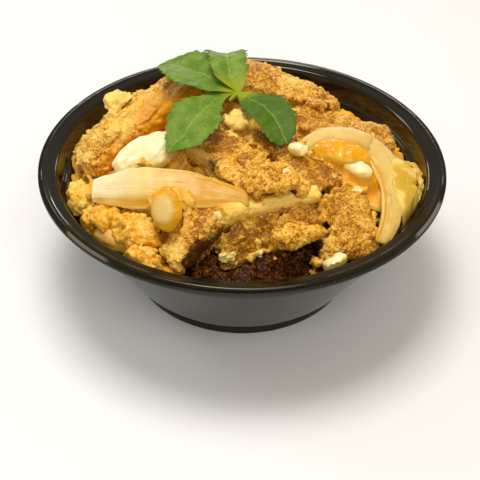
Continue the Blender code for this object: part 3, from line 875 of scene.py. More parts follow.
def crumb_colours(made, cutlet, height, brown, pale):
    """Crumbs of many tones, browner where fried harder, with painted shade in pits and painted light on
    tips.
    """
    coarse = made.grains(1.6 * MM)
    fine = made.grains(0.7 * MM)
    broad = made.noise(6 * MM, 4)
    # Raised crumbs get a paler tone: painted light
    spread = made.sum((broad, 1.1), (coarse, 0.35), (fine, 0.65), (height, 0.4), -0.6)
    tone = made.sum(spread, (brown, -0.5), (pale, 0.35))
    low = made.mix(made.between(tone, 0.1, 0.42), cutlet.deep_crumb, cutlet.brown_crumb)
    high = made.mix(made.between(tone, 0.55, 1.0), cutlet.gold_crumb, cutlet.light_crumb)
    crumb = made.mix(made.between(tone, 0.3, 0.6), low, high)
    # The pits between crumbs get the pit colour: painted shade
    pits = made.between(made.sum(height, (fine, 0.2), -0.1), 0.0, 0.35)
    return made.mix(pits, made.mix(0.45, crumb, cutlet.painted_pit_shade), crumb), fine, broad


def breading_finish(cutlet):
    """Fried crumbs, partly under egg, stained orange or soaked with sauce; the sauce also paints shade.
    """
    made = Finish("breading", 0.5, shine=0.3, coat=0.06, soft=0.25, soft_reach=0.0015)
    height, orange, pale = made.stored("relief")
    egg, brown, sauce = made.stored("cover")
    surface, fine, broad = crumb_colours(made, cutlet, height, brown, pale)
    coated = made.between(made.sum(egg, (broad, 0.8), (height, 0.4), -0.6), 0.3, 0.8)
    egg_tone = made.mix(made.between(made.sum(fine, (broad, 0.6), -0.3), 0.2, 0.9),
                        cutlet.egg_coat, cutlet.egg_cream)
    surface = made.mix(coated, surface, egg_tone)
    stained = made.between(made.sum(orange, (broad, 0.6), (fine, 0.2), -0.4), 0.25, 0.9)
    surface = made.mix(stained, surface, made.mix(fine, cutlet.sauce_orange, cutlet.gold_crumb))
    # The sauce colour goes deeper into the pits and where pieces shut the crust in: painted shade as
    # well as sauce
    soaked = made.between(made.sum(sauce, (broad, 0.6), (height, -0.5), -0.1), 0.3, 0.95)
    surface = made.mix(soaked, surface, made.mix(made.between(fine, 0.55, 1.0),
                                                 cutlet.sauce, cutlet.deep_crumb))
    made.colour(surface)
    made.rough(made.range(made.sum(soaked, stained, (coated, 0.5)), 0.48, 0.3))
    made.bump(made.noise(0.6 * MM, 3), 0.35 * MM)
    return made.look


def meat_finish(cutlet):
    """The cut side of the cutlet: pork with its fibres, stained by sauce that also paints shade."""
    made = Finish("meat", 0.4, shine=0.25, soft=0.2, soft_reach=0.0012)
    height, crumbs, light = made.stored("relief")
    pale, orange, sauce = made.stored("cover")
    fibre = made.node("ShaderNodeMapping", {"Vector": made.where, "Scale": (0.5, 1.0, 2.2)})
    lines = made.noise(1.1 * MM, 4, fibre.outputs["Vector"])
    fine = made.grains(0.9 * MM)
    patches = made.noise(5 * MM, 3)
    surface = made.mix(made.between(lines, 0.35, 0.7), cutlet.meat, cutlet.meat_light)
    surface = made.mix(pale, surface, made.mix(made.between(lines, 0.3, 0.65),
                                               cutlet.ridge, cutlet.ridge_light))
    fallen, _, _ = crumb_colours(made, cutlet, height, 0.25, light)
    surface = made.mix(made.between(crumbs, 0.2, 0.7), surface, fallen)
    stained = made.sum(orange, (patches, 0.8), (lines, 0.5), (crumbs, -0.3), -0.6)
    stained = made.between(stained, 0.25, 0.9)
    surface = made.mix(stained, surface, made.mix(made.between(patches, 0.4, 0.7),
                                                  cutlet.sauce_orange, cutlet.glaze))
    # The sauce colour also paints shade where the side is shut in between pieces
    soaked = made.between(made.sum(sauce, (patches, 0.8), (fine, 0.3), -0.5), 0.25, 0.9)
    surface = made.mix(soaked, surface, cutlet.sauce)
    made.colour(surface)
    made.bump(lines, 0.2 * MM)
    return made.look


def curd_finish(name, egg, cutlet, shine):
    """Soft cooked egg: yellow curds with cream, orange and sauce in them, and painted shade in the
    creases.
    """
    made = Finish(name, 0.4, shine=shine, soft=0.2, soft_reach=0.0012)
    height, tone, cream = made.stored("relief")
    orange, brown, sauce = made.stored("cover")
    coarse = made.grains(2.2 * MM)
    fine = made.grains(0.8 * MM)
    broad = made.noise(5 * MM, 3)
    mixed = made.sum((coarse, 0.3), (tone, 0.3), (broad, 0.9), (fine, 0.2), (cream, 0.5), -0.4)
    surface = made.mix(made.between(mixed, 0.4, 0.9), egg.curd, egg.cream)
    low = made.sum(mixed, (orange, -0.5), (height, 0.2), 0.1)
    surface = made.mix(made.between(low, 0.1, 0.5), egg.orange, surface)
    browned = made.between(made.sum(brown, (fine, 0.4), (broad, 0.8), -0.6), 0.2, 0.8)
    crumb, _, _ = crumb_colours(made, cutlet, height, made.sum((brown, 0.35)), cream)
    surface = made.mix(browned, surface, crumb)
    # Painted shade in the creases between curds
    pits = made.between(made.sum(height, (fine, 0.2), -0.1), 0.0, 0.4)
    surface = made.mix(pits, made.mix(0.6, surface, egg.shade), surface)
    # The sauce colour also paints shade where the egg is shut in and deep in gaps
    soaked = made.between(made.sum(sauce, (broad, 0.6), (height, -0.4), -0.1), 0.3, 0.9)
    surface = made.mix(soaked, surface, made.mix(made.between(fine, 0.5, 1.0),
                                                 egg.sauce, egg.sauce_thin))
    made.colour(surface)
    made.bump(made.noise(0.6 * MM, 3), 0.15 * MM)
    return made.look


def smooth_egg_finish(name, first, second, shade):
    """Egg that set smooth and wet, with painted shade in its folds."""
    made = Finish(name, 0.28, shine=0.35, coat=0.12, soft=0.3, soft_reach=0.002)
    height, edge, _ = made.stored("relief")
    fine = made.noise(1.5 * MM, 4)
    broad = made.noise(8 * MM, 3)
    thick = made.between(made.sum((broad, 1.4), (edge, 0.5), -0.3), 0.45, 0.8)
    surface = made.mix(thick, first, second)
    # Low places in the folds take the shade colour: painted shade
    folds = made.between(made.sum(height, (fine, 0.4), -0.2), 0.0, 0.45)
    surface = made.mix(folds, shade, surface)
    made.colour(surface)
    made.bump(fine, 0.12 * MM)
    return made.look


def onion_finish(onion):
    """Simmered onion: half clear, with fine ribs along it, stained towards one end."""
    made = Finish("onion", 0.3, shine=0.3, coat=0.05, soft=0.4, soft_reach=0.003)
    along, across, stain = made.stored("fibre")
    edge, ring, tip = made.stored("layers")
    where = made.node("ShaderNodeCombineXYZ", {
        "X": made.sum((along, 2.0)), "Y": made.sum((across, 16.0))})
    ribs = made.noise(1.0, 3, where.outputs["Vector"])
    patches = made.noise(7 * MM, 3)
    streaks = made.between(made.sum(ribs, (patches, 0.4), -0.2), 0.3, 0.65)
    surface = made.mix(streaks, onion.flesh, onion.pale)
    # The clear end is paler, partly as a painted highlight
    surface = made.mix(made.sum((tip, 0.75)), surface, onion.tip)
    stained = made.between(made.sum(stain, (patches, 0.8), (ribs, 0.4), -0.55), 0.0, 1.0)
    surface = made.mix(stained, surface, onion.stained)
    surface = made.mix(made.between(edge, 0.55, 1.0), surface, onion.rim)
    surface = made.mix(ring, surface, onion.ring)
    made.colour(surface)
    made.bump(made.sum(ribs, (patches, 0.8)), 0.3 * MM, 0.8)
    return made.look


def leaf_finish(leaf):
    """A fresh leaf: faint veins, a mottled blade and a yellow-green stalk."""
    made = Finish("mitsuba", 0.48, shine=0.2, soft=0.05, soft_reach=0.0006)
    vein, stalk, dark = made.stored("leaf")
    patches = made.noise(6 * MM, 4)
    cells = made.noise(0.9 * MM, 3)
    surface = made.mix(made.between(patches, 0.35, 0.65), leaf.blade, leaf.blade_light)
    mottled = made.mix(0.5, surface, leaf.blade_dark)
    surface = made.mix(made.between(cells, 0.3, 0.75), mottled, surface)
    surface = made.mix(made.sum((dark, 0.85)), surface, leaf.blade_dark)
    surface = made.mix(made.between(vein, 0.3, 1.6), surface, leaf.vein)
    surface = made.mix(stalk, surface, leaf.stalk)
    made.colour(surface)
    made.bump(made.sum((cells, 0.6), (vein, -0.5)), 0.4 * MM, 0.8)
    return made.look


def plastic_finish(bowl):
    """Glossy black plastic with faint flow marks."""
    made = Finish("bowl", 0.16, shine=0.5)
    # The specular tint paints a warm colour into every reflection: painted reflection of warm
    # surroundings
    made.feed(made.shader, {"Specular Tint": bowl.painted_reflection_tint})
    marks = made.noise(14 * MM, 3)
    specks = made.noise(0.6 * MM, 2)
    made.colour(made.mix(made.between(marks, 0.3, 0.8), bowl.plastic, bowl.plastic_light))
    made.rough(made.range(marks, 0.05, 0.12))
    made.bump(specks, 0.01 * MM, 0.5)
    return made.look


def floor_finish(stage):
    made = Finish("floor", 0.6)
    patches = made.between(made.noise(0.4, 3), 0.3, 0.7)
    made.colour(made.mix(patches, stage.floor, stage.floor_light))
    return made.look


# Cutlet slices

def patch_strength(kind, points):
    """How strongly the patches of one kind lie over points in millimetres."""
    total = np.zeros(len(points))
    for middle, radius, strength in PATCHES[kind]:
        away = ((points - middle) ** 2).sum(axis=1) / radius ** 2
        total += strength * np.exp(-away)
    return total


def patch_share(kind, points):
    return np.clip(patch_strength(kind, points), 0, 1)


def crumb_sizes(random, size, points, seed):
    """Sizes from dust to flakes, in clumps."""
    clump = eased(layered_noise(points, 6, 2, seed), -0.5, 0.7)
    flake = np.where(random.uniform(0, 1, len(points)) < 0.05, 2.0, 1.0)
    return size * np.exp(random.normal(0, 0.35, len(points))) * (0.65 + 0.6 * clump) * flake


def covers(points, egg, brown, orange, openness):
    """What lies over a surface: egg, browning, orange stain, and dark sauce that also paints shade in
    shut-in places.
    """
    shut = np.clip(1 - openness * 2.2, 0, 1)
    egg = egg + 0.3 * layered_noise(points, 11, 3, 5) + patch_strength("egg", points)
    brown = brown + 0.25 * layered_noise(points, 8, 2, 15) + patch_strength("brown", points)
    orange = orange + patch_strength("orange", points)
    # Places shut in between pieces get more dark sauce colour: painted shade as well as sauce
    sauce = patch_strength("sauce", points) + 0.5 * shut
    return [np.clip(value, 0, 1) for value in (egg, brown, orange, sauce)]


def near_node(node, places, reach):
    """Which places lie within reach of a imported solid's surface."""
    tree = tree_of((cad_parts[node].data,))
    return np.array([tree.find_nearest(place, reach)[0] is not None for place in places])


def breaded_slice(name, look, cutlet, heap, seed):
    """A slice whose crumbs stand out as crags, over the form of its solid."""
    random = np.random.default_rng(seed)
    egg, brown, crumbs = CUTLETS[name]
    meat = name + "_meat"
    nodes = (name, meat) if meat in CUT_SIDES else (name,)
    base = soft_base(FORM_GRAIN["slice"], 3, *nodes)
    places = places_of(base)
    lump = 1.4 * layered_noise(places / MM, 11, 3, seed) - 0.1
    if meat in CUT_SIDES:
        lump = np.where(near_node(meat, places, 1.0 * MM), -1.2, lump)
    rough = push_out(base, places, lump)
    spacing = cutlet.crumb_spacing / crumbs
    openness, spots, facing, seen = strewn(random, base, rough, heap, spacing)
    if meat in CUT_SIDES:
        seen &= ~near_node(meat, spots, 1.4 * MM)
    spots, facing = spots[seen], facing[seen]
    smooth = 1 - 0.6 * patch_share("bare", spots / MM)
    size = crumb_sizes(random, cutlet.crumb_size, spots / MM, seed + 40) * smooth
    spots = spots + facing * (size * 0.1)[:, None]
    mesh = with_grains(base, spots, size, random, cutlet.skin_grain)
    places = relax(mesh, 2, 0.4)
    points = places / MM
    pits, _ = grains(points, 1.2, seed)
    smooth = 1 - 0.6 * patch_share("bare", points)
    push_out(mesh, places, (0.4 * (0.6 - pits) + 0.25 * soft_noise(points, 0.8, seed)) * smooth)
    openness = nearest_values(rough, openness, places)
    egg, brown, orange, sauce = covers(points, egg, brown, 0, openness)
    keep_values(mesh, "relief", bump_heights(mesh), orange, patch_share("pale", points))
    keep_values(mesh, "cover", egg, brown, sauce)
    mesh = thinned(mesh, openness > SEEN, cutlet.kept_share)
    return piece(name + "_crust", mesh, look, "katsu", name)


def cut_side(name, look, cutlet, heap, seed):
    """The meat that a cut side shows, uneven along its fibres, with fallen crumbs on it."""
    random = np.random.default_rng(seed)
    pale, orange, sauce, crumbs = CUT_SIDES[name]
    base = soft_base(FORM_GRAIN["cut_side"], 1, name, ridge=RIDGES.get(name))
    places = places_of(base)
    swell = 0.6 * layered_noise(places / MM * FIBRE_STRETCH, 5, 3, seed)
    swell += 0.5 * layered_noise(places / MM, 11, 2, seed + 1)
    swell = 0.7 + swell * (0.45 if name in RIDGES else 1)
    rough = push_out(base, places, swell)
    openness, spots, facing, seen = strewn(random, base, rough, heap, cutlet.crumb_spacing)
    seen &= random.uniform(0, 1, len(spots)) < fallen_crumbs(spots / MM, crumbs, seed)
    spots, facing = spots[seen], facing[seen]
    size = crumb_sizes(random, cutlet.crumb_size * 0.9, spots / MM, seed + 40)
    spots = spots + facing * (size * 0.1)[:, None]
    mesh = with_grains(base, spots, size, random, cutlet.skin_grain)
    places = relax(mesh, 2, 0.4)
    points = places / MM
    push_out(mesh, places, 0.3 * layered_noise(points * FIBRE_STRETCH, 2.5, 3, seed))
    openness = nearest_values(rough, openness, places)
    # The soak adds dark sauce colour where the side is shut in: painted shade
    _, _, stain, soak = covers(points, 0, 0, orange * 0.5, openness)
    fallen = fallen_crumbs(points, crumbs, seed) * 0.9
    keep_values(mesh, "relief", bump_heights(mesh), fallen, patch_share("pale", points))
    keep_values(mesh, "cover", pale, stain, np.clip(sauce + soak, 0, 1))
    mesh = thinned(mesh, openness > SEEN, cutlet.kept_share)
    return piece(name + "_cut", mesh, look, "meat", name)


def fallen_crumbs(points, share, seed):
    """How thickly crumbs lie on a cut side, from 0 to 1."""
    here = eased(layered_noise(points, 7, 2, seed), 0.5 - share, 1.0 - share)
    return here * (1 - patch_share("bare", points))


# Egg

def curd_sizes(random, size, count):
    """Mostly small curds, with a few large ones among them."""
    large = random.uniform(0, 1, count) < 0.12
    return size * MM * np.exp(random.normal(0, 0.4, count)) * np.where(large, 1.9, 0.9)


def curd_lump(name, look, slot, heap, seed):
    """A clump of curds: small soft grains grown into one skin over the solid's form."""
    spacing, size, cream, crumbed, orange = CURDS[name]
    random = np.random.default_rng(seed)
    base = soft_base(FORM_GRAIN["curds"], 2, name)
    places = places_of(base)
    rough = push_out(base, places, 1.4 * layered_noise(places / MM, 7, 3, seed))
    openness, spots, facing, seen = strewn(random, base, rough, heap, spacing * MM)
    spots, facing = spots[seen], facing[seen]
    sizes = curd_sizes(random, size, len(spots))
    spots = spots - facing * (sizes * 0.2)[:, None]
    around, small = skirt(random, rough, heap, size)
    spots, sizes = np.vstack((spots, around)), np.concatenate((sizes, small))
    mesh = with_grains(base, spots, sizes, random, SKIN_GRAIN["curds"] * MM)
    places = relax(mesh, 2, 0.4)
    points = places / MM
    pits, tone = grains(points, 1.6, seed)
    push_out(mesh, places, 0.45 * (0.45 - pits) + 0.2 * layered_noise(points, 1.2, 2, seed))
    openness = nearest_values(rough, openness, places)
    _, brown, orange, sauce = covers(points, 0, crumbed, orange, openness)
    keep_values(mesh, "relief", bump_heights(mesh), tone, cream)
    keep_values(mesh, "cover", orange, brown if crumbed else 0.0, sauce)
    mesh = thinned(mesh, openness > SEEN, KEPT_SHARE["curds"])
    return piece(name + "_curds", mesh, look, slot, name)


def skirt(random, rough, heap, size):
    """Smaller curds on what lies round the foot of a clump, so that it doesn't end abruptly."""
    middle = rough.mean(axis=0)
    reach = rough[:, :2].max(axis=0) - middle[:2]
    count = int(14 * reach.sum() / MM)
    turn = random.uniform(0, 2 * math.pi, count)
    away = 1 + random.exponential(0.14, count)
    x = middle[0] + reach[0] * away * np.cos(turn)
    y = middle[1] + reach[1] * away * np.sin(turn)
    z = heap.heights(x, y)
    near = (z > rough[:, 2].min() - 3 * MM) & (z < middle[2] + 3 * MM) & (np.hypot(x, y) < 84 * MM)
    spots = np.stack((x, y, z), axis=1)[near]
    return spots, 0.6 * curd_sizes(random, size, len(spots))


def soft_lump(name, look, seed):
    """Egg that set in a smooth lump with folds or blunt corners."""
    slope, angular, swell = SOFT_LUMPS[name]
    mesh = soft_base(FORM_GRAIN["soft"], 2, name)
    places, facing = places_of(mesh), normals_of(mesh)
    points = places / MM
    facets, _ = grains(points, 4.0, seed)
    fold = 0.7 * layered_noise(points, 5, 4, seed) + angular * (0.5 - facets) + swell
    places = places + facing * (fold * MM)[:, None]
    places[:, 2] += slope * (places[:, 0] - places[:, 0].mean())
    place_vertices(mesh, inside_bowl(relaxed(places, edges_of(mesh), 2)))
    edge = 1 - eased(facing[:, 2], 0.3, 0.9)
    keep_values(mesh, "relief", bump_heights(mesh, 12, 0.5 * MM), edge)
    mesh = thinned(mesh, facing[:, 2] > -0.3, KEPT_SHARE["soft"])
    return piece(name + "_soft", mesh, look, name.rsplit("_", 1)[0], name)


def egg_flecks(look, seed):
    """Blocky flecks of egg white, half sunk into what they lie on."""
    random = np.random.default_rng(seed)
    ball, faces = ball_form(3)
    parts = []
    for middle, half in FLECKS:
        block = signed_power(ball, 0.6) * half
        spin = np.array(Matrix.Rotation(random.uniform(-0.4, 0.4), 3, "Z"))
        parts.append((block @ spin.T + middle, faces.tolist()))
    mesh = voxel_skin(joined_mesh("flecks", parts), SKIN_GRAIN["flecks"] * MM)
    places = places_of(mesh)
    points = places / MM
    facets, tone = grains(points, 1.8, seed + 1)
    rough = 1.5 * (0.4 - facets) + 0.9 * layered_noise(points, 3, 3, seed + 2)
    places = relaxed(places + normals_of(mesh) * (rough * MM)[:, None], edges_of(mesh), 2)
    place_vertices(mesh, inside_bowl(places))
    keep_values(mesh, "relief", bump_heights(mesh), 0.3 + 0.7 * tone)
    return piece("egg_flecks", mesh, look, "egg_white")


def egg_sheet(name, look, heap, seed):
    """A thin sheet of egg that drapes over the gaps in the heap."""
    sink, outline = SHEETS[name]
    corners = np.array(outline, float)
    middle = corners.mean(axis=0)
    angles = np.arctan2(*(corners - middle).T[::-1])
    reaches = np.linalg.norm(corners - middle, axis=1)
    order = np.argsort(angles)
    rings, around = 28, 100
    share, turn = ring_grid(rings, around, 0.01)
    reach = np.interp(turn, angles[order], reaches[order], period=2 * math.pi)
    wave = soft_noise(on_flat(np.cos(turn), np.sin(turn)) * 5, 1.0, seed).reshape(turn.shape)
    reach *= 1 + 0.05 * wave
    x = middle[0] + share * reach * np.cos(turn)
    y = middle[1] + share * reach * np.sin(turn)
    top = heap.filled_heights(x, y, 6) - sink - 3.0 * share ** 8
    top += 0.8 * layered_noise(on_flat(x, y), 6, 3, seed).reshape(x.shape)
    low = top - 2.5 * (1 - share ** 4) - 0.2
    upper = np.stack((x, y, top), axis=-1)
    under = np.stack((x, y, low), axis=-1)[::-1]
    rows = np.concatenate((upper, under)).reshape(-1, 3)
    mesh = outward(joined_mesh(name, [(rows, tube_faces(rings * 2, around))]))
    place_vertices(mesh, inside_bowl(relaxed(places_of(mesh), edges_of(mesh), 6)))
    edge = np.concatenate((share, share[::-1])).ravel() ** 3
    keep_values(mesh, "relief", bump_heights(mesh, 12, 0.5 * MM), edge)
    return piece(name, mesh, look, name.rsplit("_", 2)[0])


def egg_bed(look, heap, seed):
    """The egg that fills the bowl: curds of all sizes on top, plain below the heap."""
    random = np.random.default_rng(seed)
    base = soft_base(FORM_GRAIN["bed"], 2, "egg_bed")
    rough = inside_bowl(places_of(base))
    openness, spots, facing, seen = strewn(random, base, rough, heap, 2.2 * MM)
    seen &= spots[:, 2] > (BED_CUT + 3) * MM
    spots, facing = spots[seen], facing[seen]
    sizes = curd_sizes(random, 1.5, len(spots))
    spots = spots - facing * (sizes * 0.1)[:, None]
    mesh = with_grains(base, spots, sizes, random, SKIN_GRAIN["bed"] * MM)
    places = relax(mesh, 1)
    points = places / MM
    openness = nearest_values(rough, openness, places)
    rising = eased(openness, 0.0, 0.2) * eased(points[:, 2], BED_CUT, BED_CUT + 3)
    pits, _ = grains(points, 2.0, seed + 2)
    skin = 0.7 * (0.4 - 0.6 * pits) + 0.2 * layered_noise(points, 1.6, 2, seed + 3)
    push_out(mesh, places, skin * rising)
    upper = cut_level(mesh, BED_CUT * MM, True)
    lower = cut_level(node_mesh("egg_bed"), BED_CUT * MM, False)
    places = places_of(upper)
    points = places / MM
    openness = nearest_values(rough, openness, places)
    _, tone = grains(points, 2.0, seed + 2)
    _, brown, orange, sauce = covers(points, 0, 0.2, 0.6, openness)
    # Dark sauce and painted shade in the middle of the front, where the gap below the front slice lies
    # in shadow
    x, y, _ = points.T
    front_sauce_and_shade = eased(-y, 52, 70) * eased(x, -36, -20) * eased(-x, -56, -36)
    keep_values(upper, "relief", bump_heights(upper, reach=0.5 * MM), tone, 0.0)
    keep_values(upper, "cover", orange, brown, np.clip(sauce + front_sauce_and_shade * 0.9, 0, 1))
    upper = thinned(upper, openness > SEEN, KEPT_SHARE["bed"])
    return piece("egg_filling", with_under_part(upper, lower), look, "egg_bed", "egg_bed")


def cut_level(mesh, height, above):
    """The part of a closed mesh above or below a height, closed with a flat face."""
    bm = bmesh.new()
    bm.from_mesh(mesh)
    bpy.data.meshes.remove(mesh)
    everything = bm.verts[:] + bm.edges[:] + bm.faces[:]
    cut = bmesh.ops.bisect_plane(bm, geom=everything, plane_co=(0, 0, height), plane_no=(0, 0, 1),
                                 clear_inner=above, clear_outer=not above)
    edges = [item for item in cut["geom_cut"] if isinstance(item, bmesh.types.BMEdge)]
    bmesh.ops.triangle_fill(bm, edges=edges, use_beauty=True)
    bmesh.ops.recalc_face_normals(bm, faces=bm.faces)
    made = bpy.data.meshes.new("cut_level")
    bm.to_mesh(made)
    bm.free()
    return outward(made)


def with_under_part(upper, lower):
    """One mesh of both parts; the upper part keeps the values stored on it."""
    bm = bmesh.new()
    bm.from_mesh(upper)
    bm.from_mesh(lower)
    bm.to_mesh(upper)
    bm.free()
    bpy.data.meshes.remove(lower)
    return upper


def crevice_bits(look, heap, seed):
    """Bits of egg and crumbs lodged between the pieces, wherever the heap has a narrow gap."""
    random = np.random.default_rng(seed)
    step, reach = 1.2, 4
    line = np.arange(-84, 84.1, step)
    x, y = np.meshgrid(line, line, indexing="ij")
    height = heap.heights(x * MM, y * MM) / MM
    filled = closed(height, reach)
    gap = filled - height
    # Gaps that are deep enough, above the filling and clear of the wall, with two bits in each
    chosen = np.argwhere((gap > 1.2) & (height > 52) & (np.hypot(x, y) < 80))
    chosen = chosen[np.repeat(np.arange(len(chosen)), 2)]
    i, j = chosen.T
    depth = gap[i, j]
    rise = np.minimum(depth * random.uniform(0.0, 0.75, len(i)), 7)
    spots = np.stack((x[i, j], y[i, j], height[i, j] + rise), axis=1)
    spots[:, :2] += random.uniform(-step, step, (len(i), 2)) / 2
    sizes = np.clip(depth * 0.3, 0.5, 1.5) * np.exp(random.normal(0, 0.35, len(i)))
    bits = mesh_of("bits", *grain_crowd(random, spots * MM, sizes * MM))
    mesh = voxel_skin(bits, SKIN_GRAIN["bits"] * MM)
    places = relax(mesh, 2, 0.4)
    points = places / MM
    pits, tone = grains(points, 1.6, seed + 1)
    push_out(mesh, places, 0.6 * (0.45 - pits) + 0.3 * soft_noise(points, 1.2, seed + 2))
    openness = heap.open_shares(places[::4], normals_of(mesh)[::4])
    openness = nearest_values(places[::4], openness, places)
    column = np.clip(((points[:, :2] - line[0]) / step).round().astype(int), 0, len(line) - 1)
    under = filled[column[:, 0], column[:, 1]] - points[:, 2]
    # Crumbs fill the gaps among the slices, and egg those at the left and right
    x, y, _ = points.T
    among = eased(x + 0.4 * y, -50, -20) * eased(-x, -50, -36)
    _, brown, orange, sauce = covers(points, 0, 0.3 + 0.7 * among, 0.4, np.ones(len(points)))
    keep_values(mesh, "relief", bump_heights(mesh), tone, 0.1)
    # Bits deep in a gap get more dark sauce colour: painted shade
    keep_values(mesh, "cover", orange, brown, np.clip(sauce + eased(under, 2, 8) * 0.9, 0, 1))
    mesh = thinned(mesh, openness > 2 * SEEN, KEPT_SHARE["bits"])
    return piece("egg_between", mesh, look, "egg_curd")


# Onion

def onion_slice(name, look, onion, seed):
    """A curved slice with rounded rims, ribbed along its length."""
    upper, lower, bow = ONIONS[name]
    stain_left, stain_right, stain_low, ring, clear = ONION_STAINS[name]
    rows, around = (121 if len(upper) > 3 else 61), 56
    u, turn = ring_grid(rows, around)
    a, b = curve_places(upper, u), curve_places(lower, u)
    out = unit(np.cross(b - a, way_along(upper, u)))
    ends = np.maximum(1 - np.abs(2 * u - 1) ** (2.2 if ring else 8), 0) ** 0.5
    v = 0.5 - 0.5 * signed_power(np.cos(turn), 0.6)
    side = signed_power(np.sin(turn), 0.6)
    v = 0.5 + (v - 0.5) * (ends if ring else 0.82 + 0.18 * ends)
    lift = bow * (4 * v * (1 - v) - 0.3) * (1 - 0.5 * (2 * u - 1) ** 2)
    steps = 0.2 * np.exp(-((v - 0.3) / 0.07) ** 2) - 0.3 * np.exp(-((v - 0.86) / 0.04) ** 2)
    lift += np.where(side > 0, steps, 0) * (1 - ring)
    lift += side * onion.thickness / MM / 2 * (0.35 + 0.65 * ends)
    places = a + (b - a) * v[..., None] + out * lift[..., None]
    mesh = outward(joined_mesh(name, [(places.reshape(-1, 3), tube_faces(rows, around))]))
    u, v = u.ravel(), v.ravel()
    places, facing = places_of(mesh), normals_of(mesh)
    ribs = soft_noise(on_flat(u * 5, v * 14), 1.0, seed)
    wave = layered_noise(places / MM, 12, 2, seed)
    wave += 0.4 * layered_noise(places / MM, 4, 2, seed + 1)
    place_vertices(mesh, places + facing * ((0.2 * ribs + 0.6 * wave) * MM)[:, None])
    stain = stain_left * (1 - u) + stain_right * u ** 2 + stain_low * eased(v, 0.55, 1.0)
    core = eased(np.hypot((2 * u - 1) * 1.05 + 0.25, (2 * v - 1) * 1.1), 0.55, 0.85)
    edge = 1 - np.minimum(1, 6 * np.minimum(v, 1 - v))
    keep_values(mesh, "fibre", u, v, np.clip(stain, 0, 1))
    keep_values(mesh, "layers", edge, ring * core, (1 - eased(u, -0.1, 0.5)) * clear)
    return piece(name + "_slice", mesh, look, "onion", name)


# Mitsuba

def leaf_outline(stations):
    """Even shares of a leaflet's length, and at each its middle line's swing and half its width."""
    shares = np.linspace(0, 1, 61)
    table = np.array(stations)
    outline = np.stack([np.interp(shares, table[:, 0], table[:, column]) for column in (1, 2)], axis=1)
    for _ in range(2):
        outline[1:-1] = (outline[:-2] + outline[1:-1] * 2 + outline[2:]) / 4
    return shares, outline[:, 0], outline[:, 1]


def leaflet(joint, row, clear, seed):
    """Vertices, faces, veins and stalk of one leaflet, with toothed edges."""
    tip, arch, lifts, _, stations = row
    rows, columns, veins, teeth = 120, 20, 6, 11
    way = np.array(tip, float) - joint
    length = np.linalg.norm(way)
    side = unit(np.cross((0, 0, 1), way))
    s, t = np.meshgrid(np.linspace(0, 1, rows + 1), np.linspace(-1, 1, columns + 1), indexing="ij")
    shares, swings, widths = leaf_outline(stations)
    near = np.interp(s, shares, widths)
    along = np.minimum(s + 0.45 * np.abs(t) * near / length * (1 - s), 1)
    swing = np.interp(along, shares, swings)
    width = np.interp(along, shares, widths)
    blade = eased(s, 0.10, 0.22)
    count = s * teeth + np.where(t > 0, 0.4, 0)
    bite = hashed(on_flat(np.floor(count), np.sign(t)), seed)[:, 0].reshape(s.shape)
    tooth = 1.9 * (count % 1) * (0.4 + bite) + 0.7 * (count * 3 % 1) - 1.1
    tooth *= blade * np.minimum(width / 8, 1)
    reach = width + tooth * np.maximum(0, np.abs(t) - 0.75) / 0.25
    flat = on_flat(s * length, t * width)
    sway = 0.25 * layered_noise(flat, 9, 2, seed).reshape(s.shape)
    turn = (s * veins + sway) % 1
    branch = np.exp(-((turn - 0.5) * length / veins / 0.5) ** 2) * (1 - np.abs(t) ** 4)
    twigs = np.exp(-(((count * 2 + sway * 4) % 1 - 0.5) * length / teeth / 2 / 0.25) ** 2) * np.abs(t)
    midrib = np.exp(-(t * width / 0.6) ** 2)
    vein = np.where(s > 0.08, np.maximum(np.maximum(branch * 0.6, twigs * 0.3), midrib), 1)
    crumple = layered_noise(flat, 7, 3, seed + 7).reshape(s.shape)
    puff = 0.3 * np.sin(math.pi * turn) * (1 - np.abs(t) ** 4)
    quilt = blade * (puff - 0.35 * midrib + 0.7 * crumple)
    edges = np.where(t < 0, lifts[0], lifts[1]) * np.abs(t) ** 1.5 * width / 10
    lift = arch * 4 * along * (1 - along) + edges + quilt
    places = joint + way * along[..., None] + side * (swing + reach * t)[..., None]
    places[..., 2] += lift
    floor = clear(places[..., 0] * MM, places[..., 1] * MM) / MM + 1.3
    places[..., 2] = np.maximum(places[..., 2], np.minimum(floor, places[..., 2] + 4))
    line = columns + 1
    faces = [(i * line + j, i * line + j + 1, (i + 1) * line + j + 1, (i + 1) * line + j)
             for i in range(rows) for j in range(columns)]
    stalk = 1 - eased(s + 0.04 * t * t, 0.07, 0.2)
    return places.reshape(-1, 3), faces, vein.ravel(), stalk.ravel()


def mitsuba(look, leaf, heap):
    """The sprig: four leaflets on short stalks that meet at one joint."""
    joint = np.array(SPRIG_JOINT, float)
    blades = [leaflet(joint, row, heap.heights, seed)
              for seed, row in enumerate(LEAFLETS, SEEDS["leaflets"])]
    mesh = joined_mesh("mitsuba", [(places, faces) for places, faces, _, _ in blades])
    dark = np.repeat([row[3] for row in LEAFLETS], [len(blade[0]) for blade in blades])
    keep_values(mesh, "leaf", np.concatenate([blade[2] for blade in blades]),
                np.concatenate([blade[3] for blade in blades]), dark)
    mesh = modified(mesh, "SOLIDIFY", thickness=leaf.thickness, offset=0)
    piece("mitsuba_leaves", mesh, look, "mitsuba", "mitsuba")
    ends = [joint + (np.array(row[0]) - joint) * 0.14 for row in LEAFLETS]
    stalks = [stalk_tube((joint, (joint + end) / 2 + (0, 0, 0.4), end), 1.3) for end in ends]
    stalks.append(stalk_tube((STEM_END, joint - (0, 1, 0.5), joint + (0.4, 3, 0)), 1.9))
    mesh = outward(joined_mesh("mitsuba_stalks", stalks))
    keep_values(mesh, "leaf", 0.0, 1.0, 0.0)
    piece("mitsuba_stalks", mesh, look, "mitsuba", "mitsuba")


# Bowl

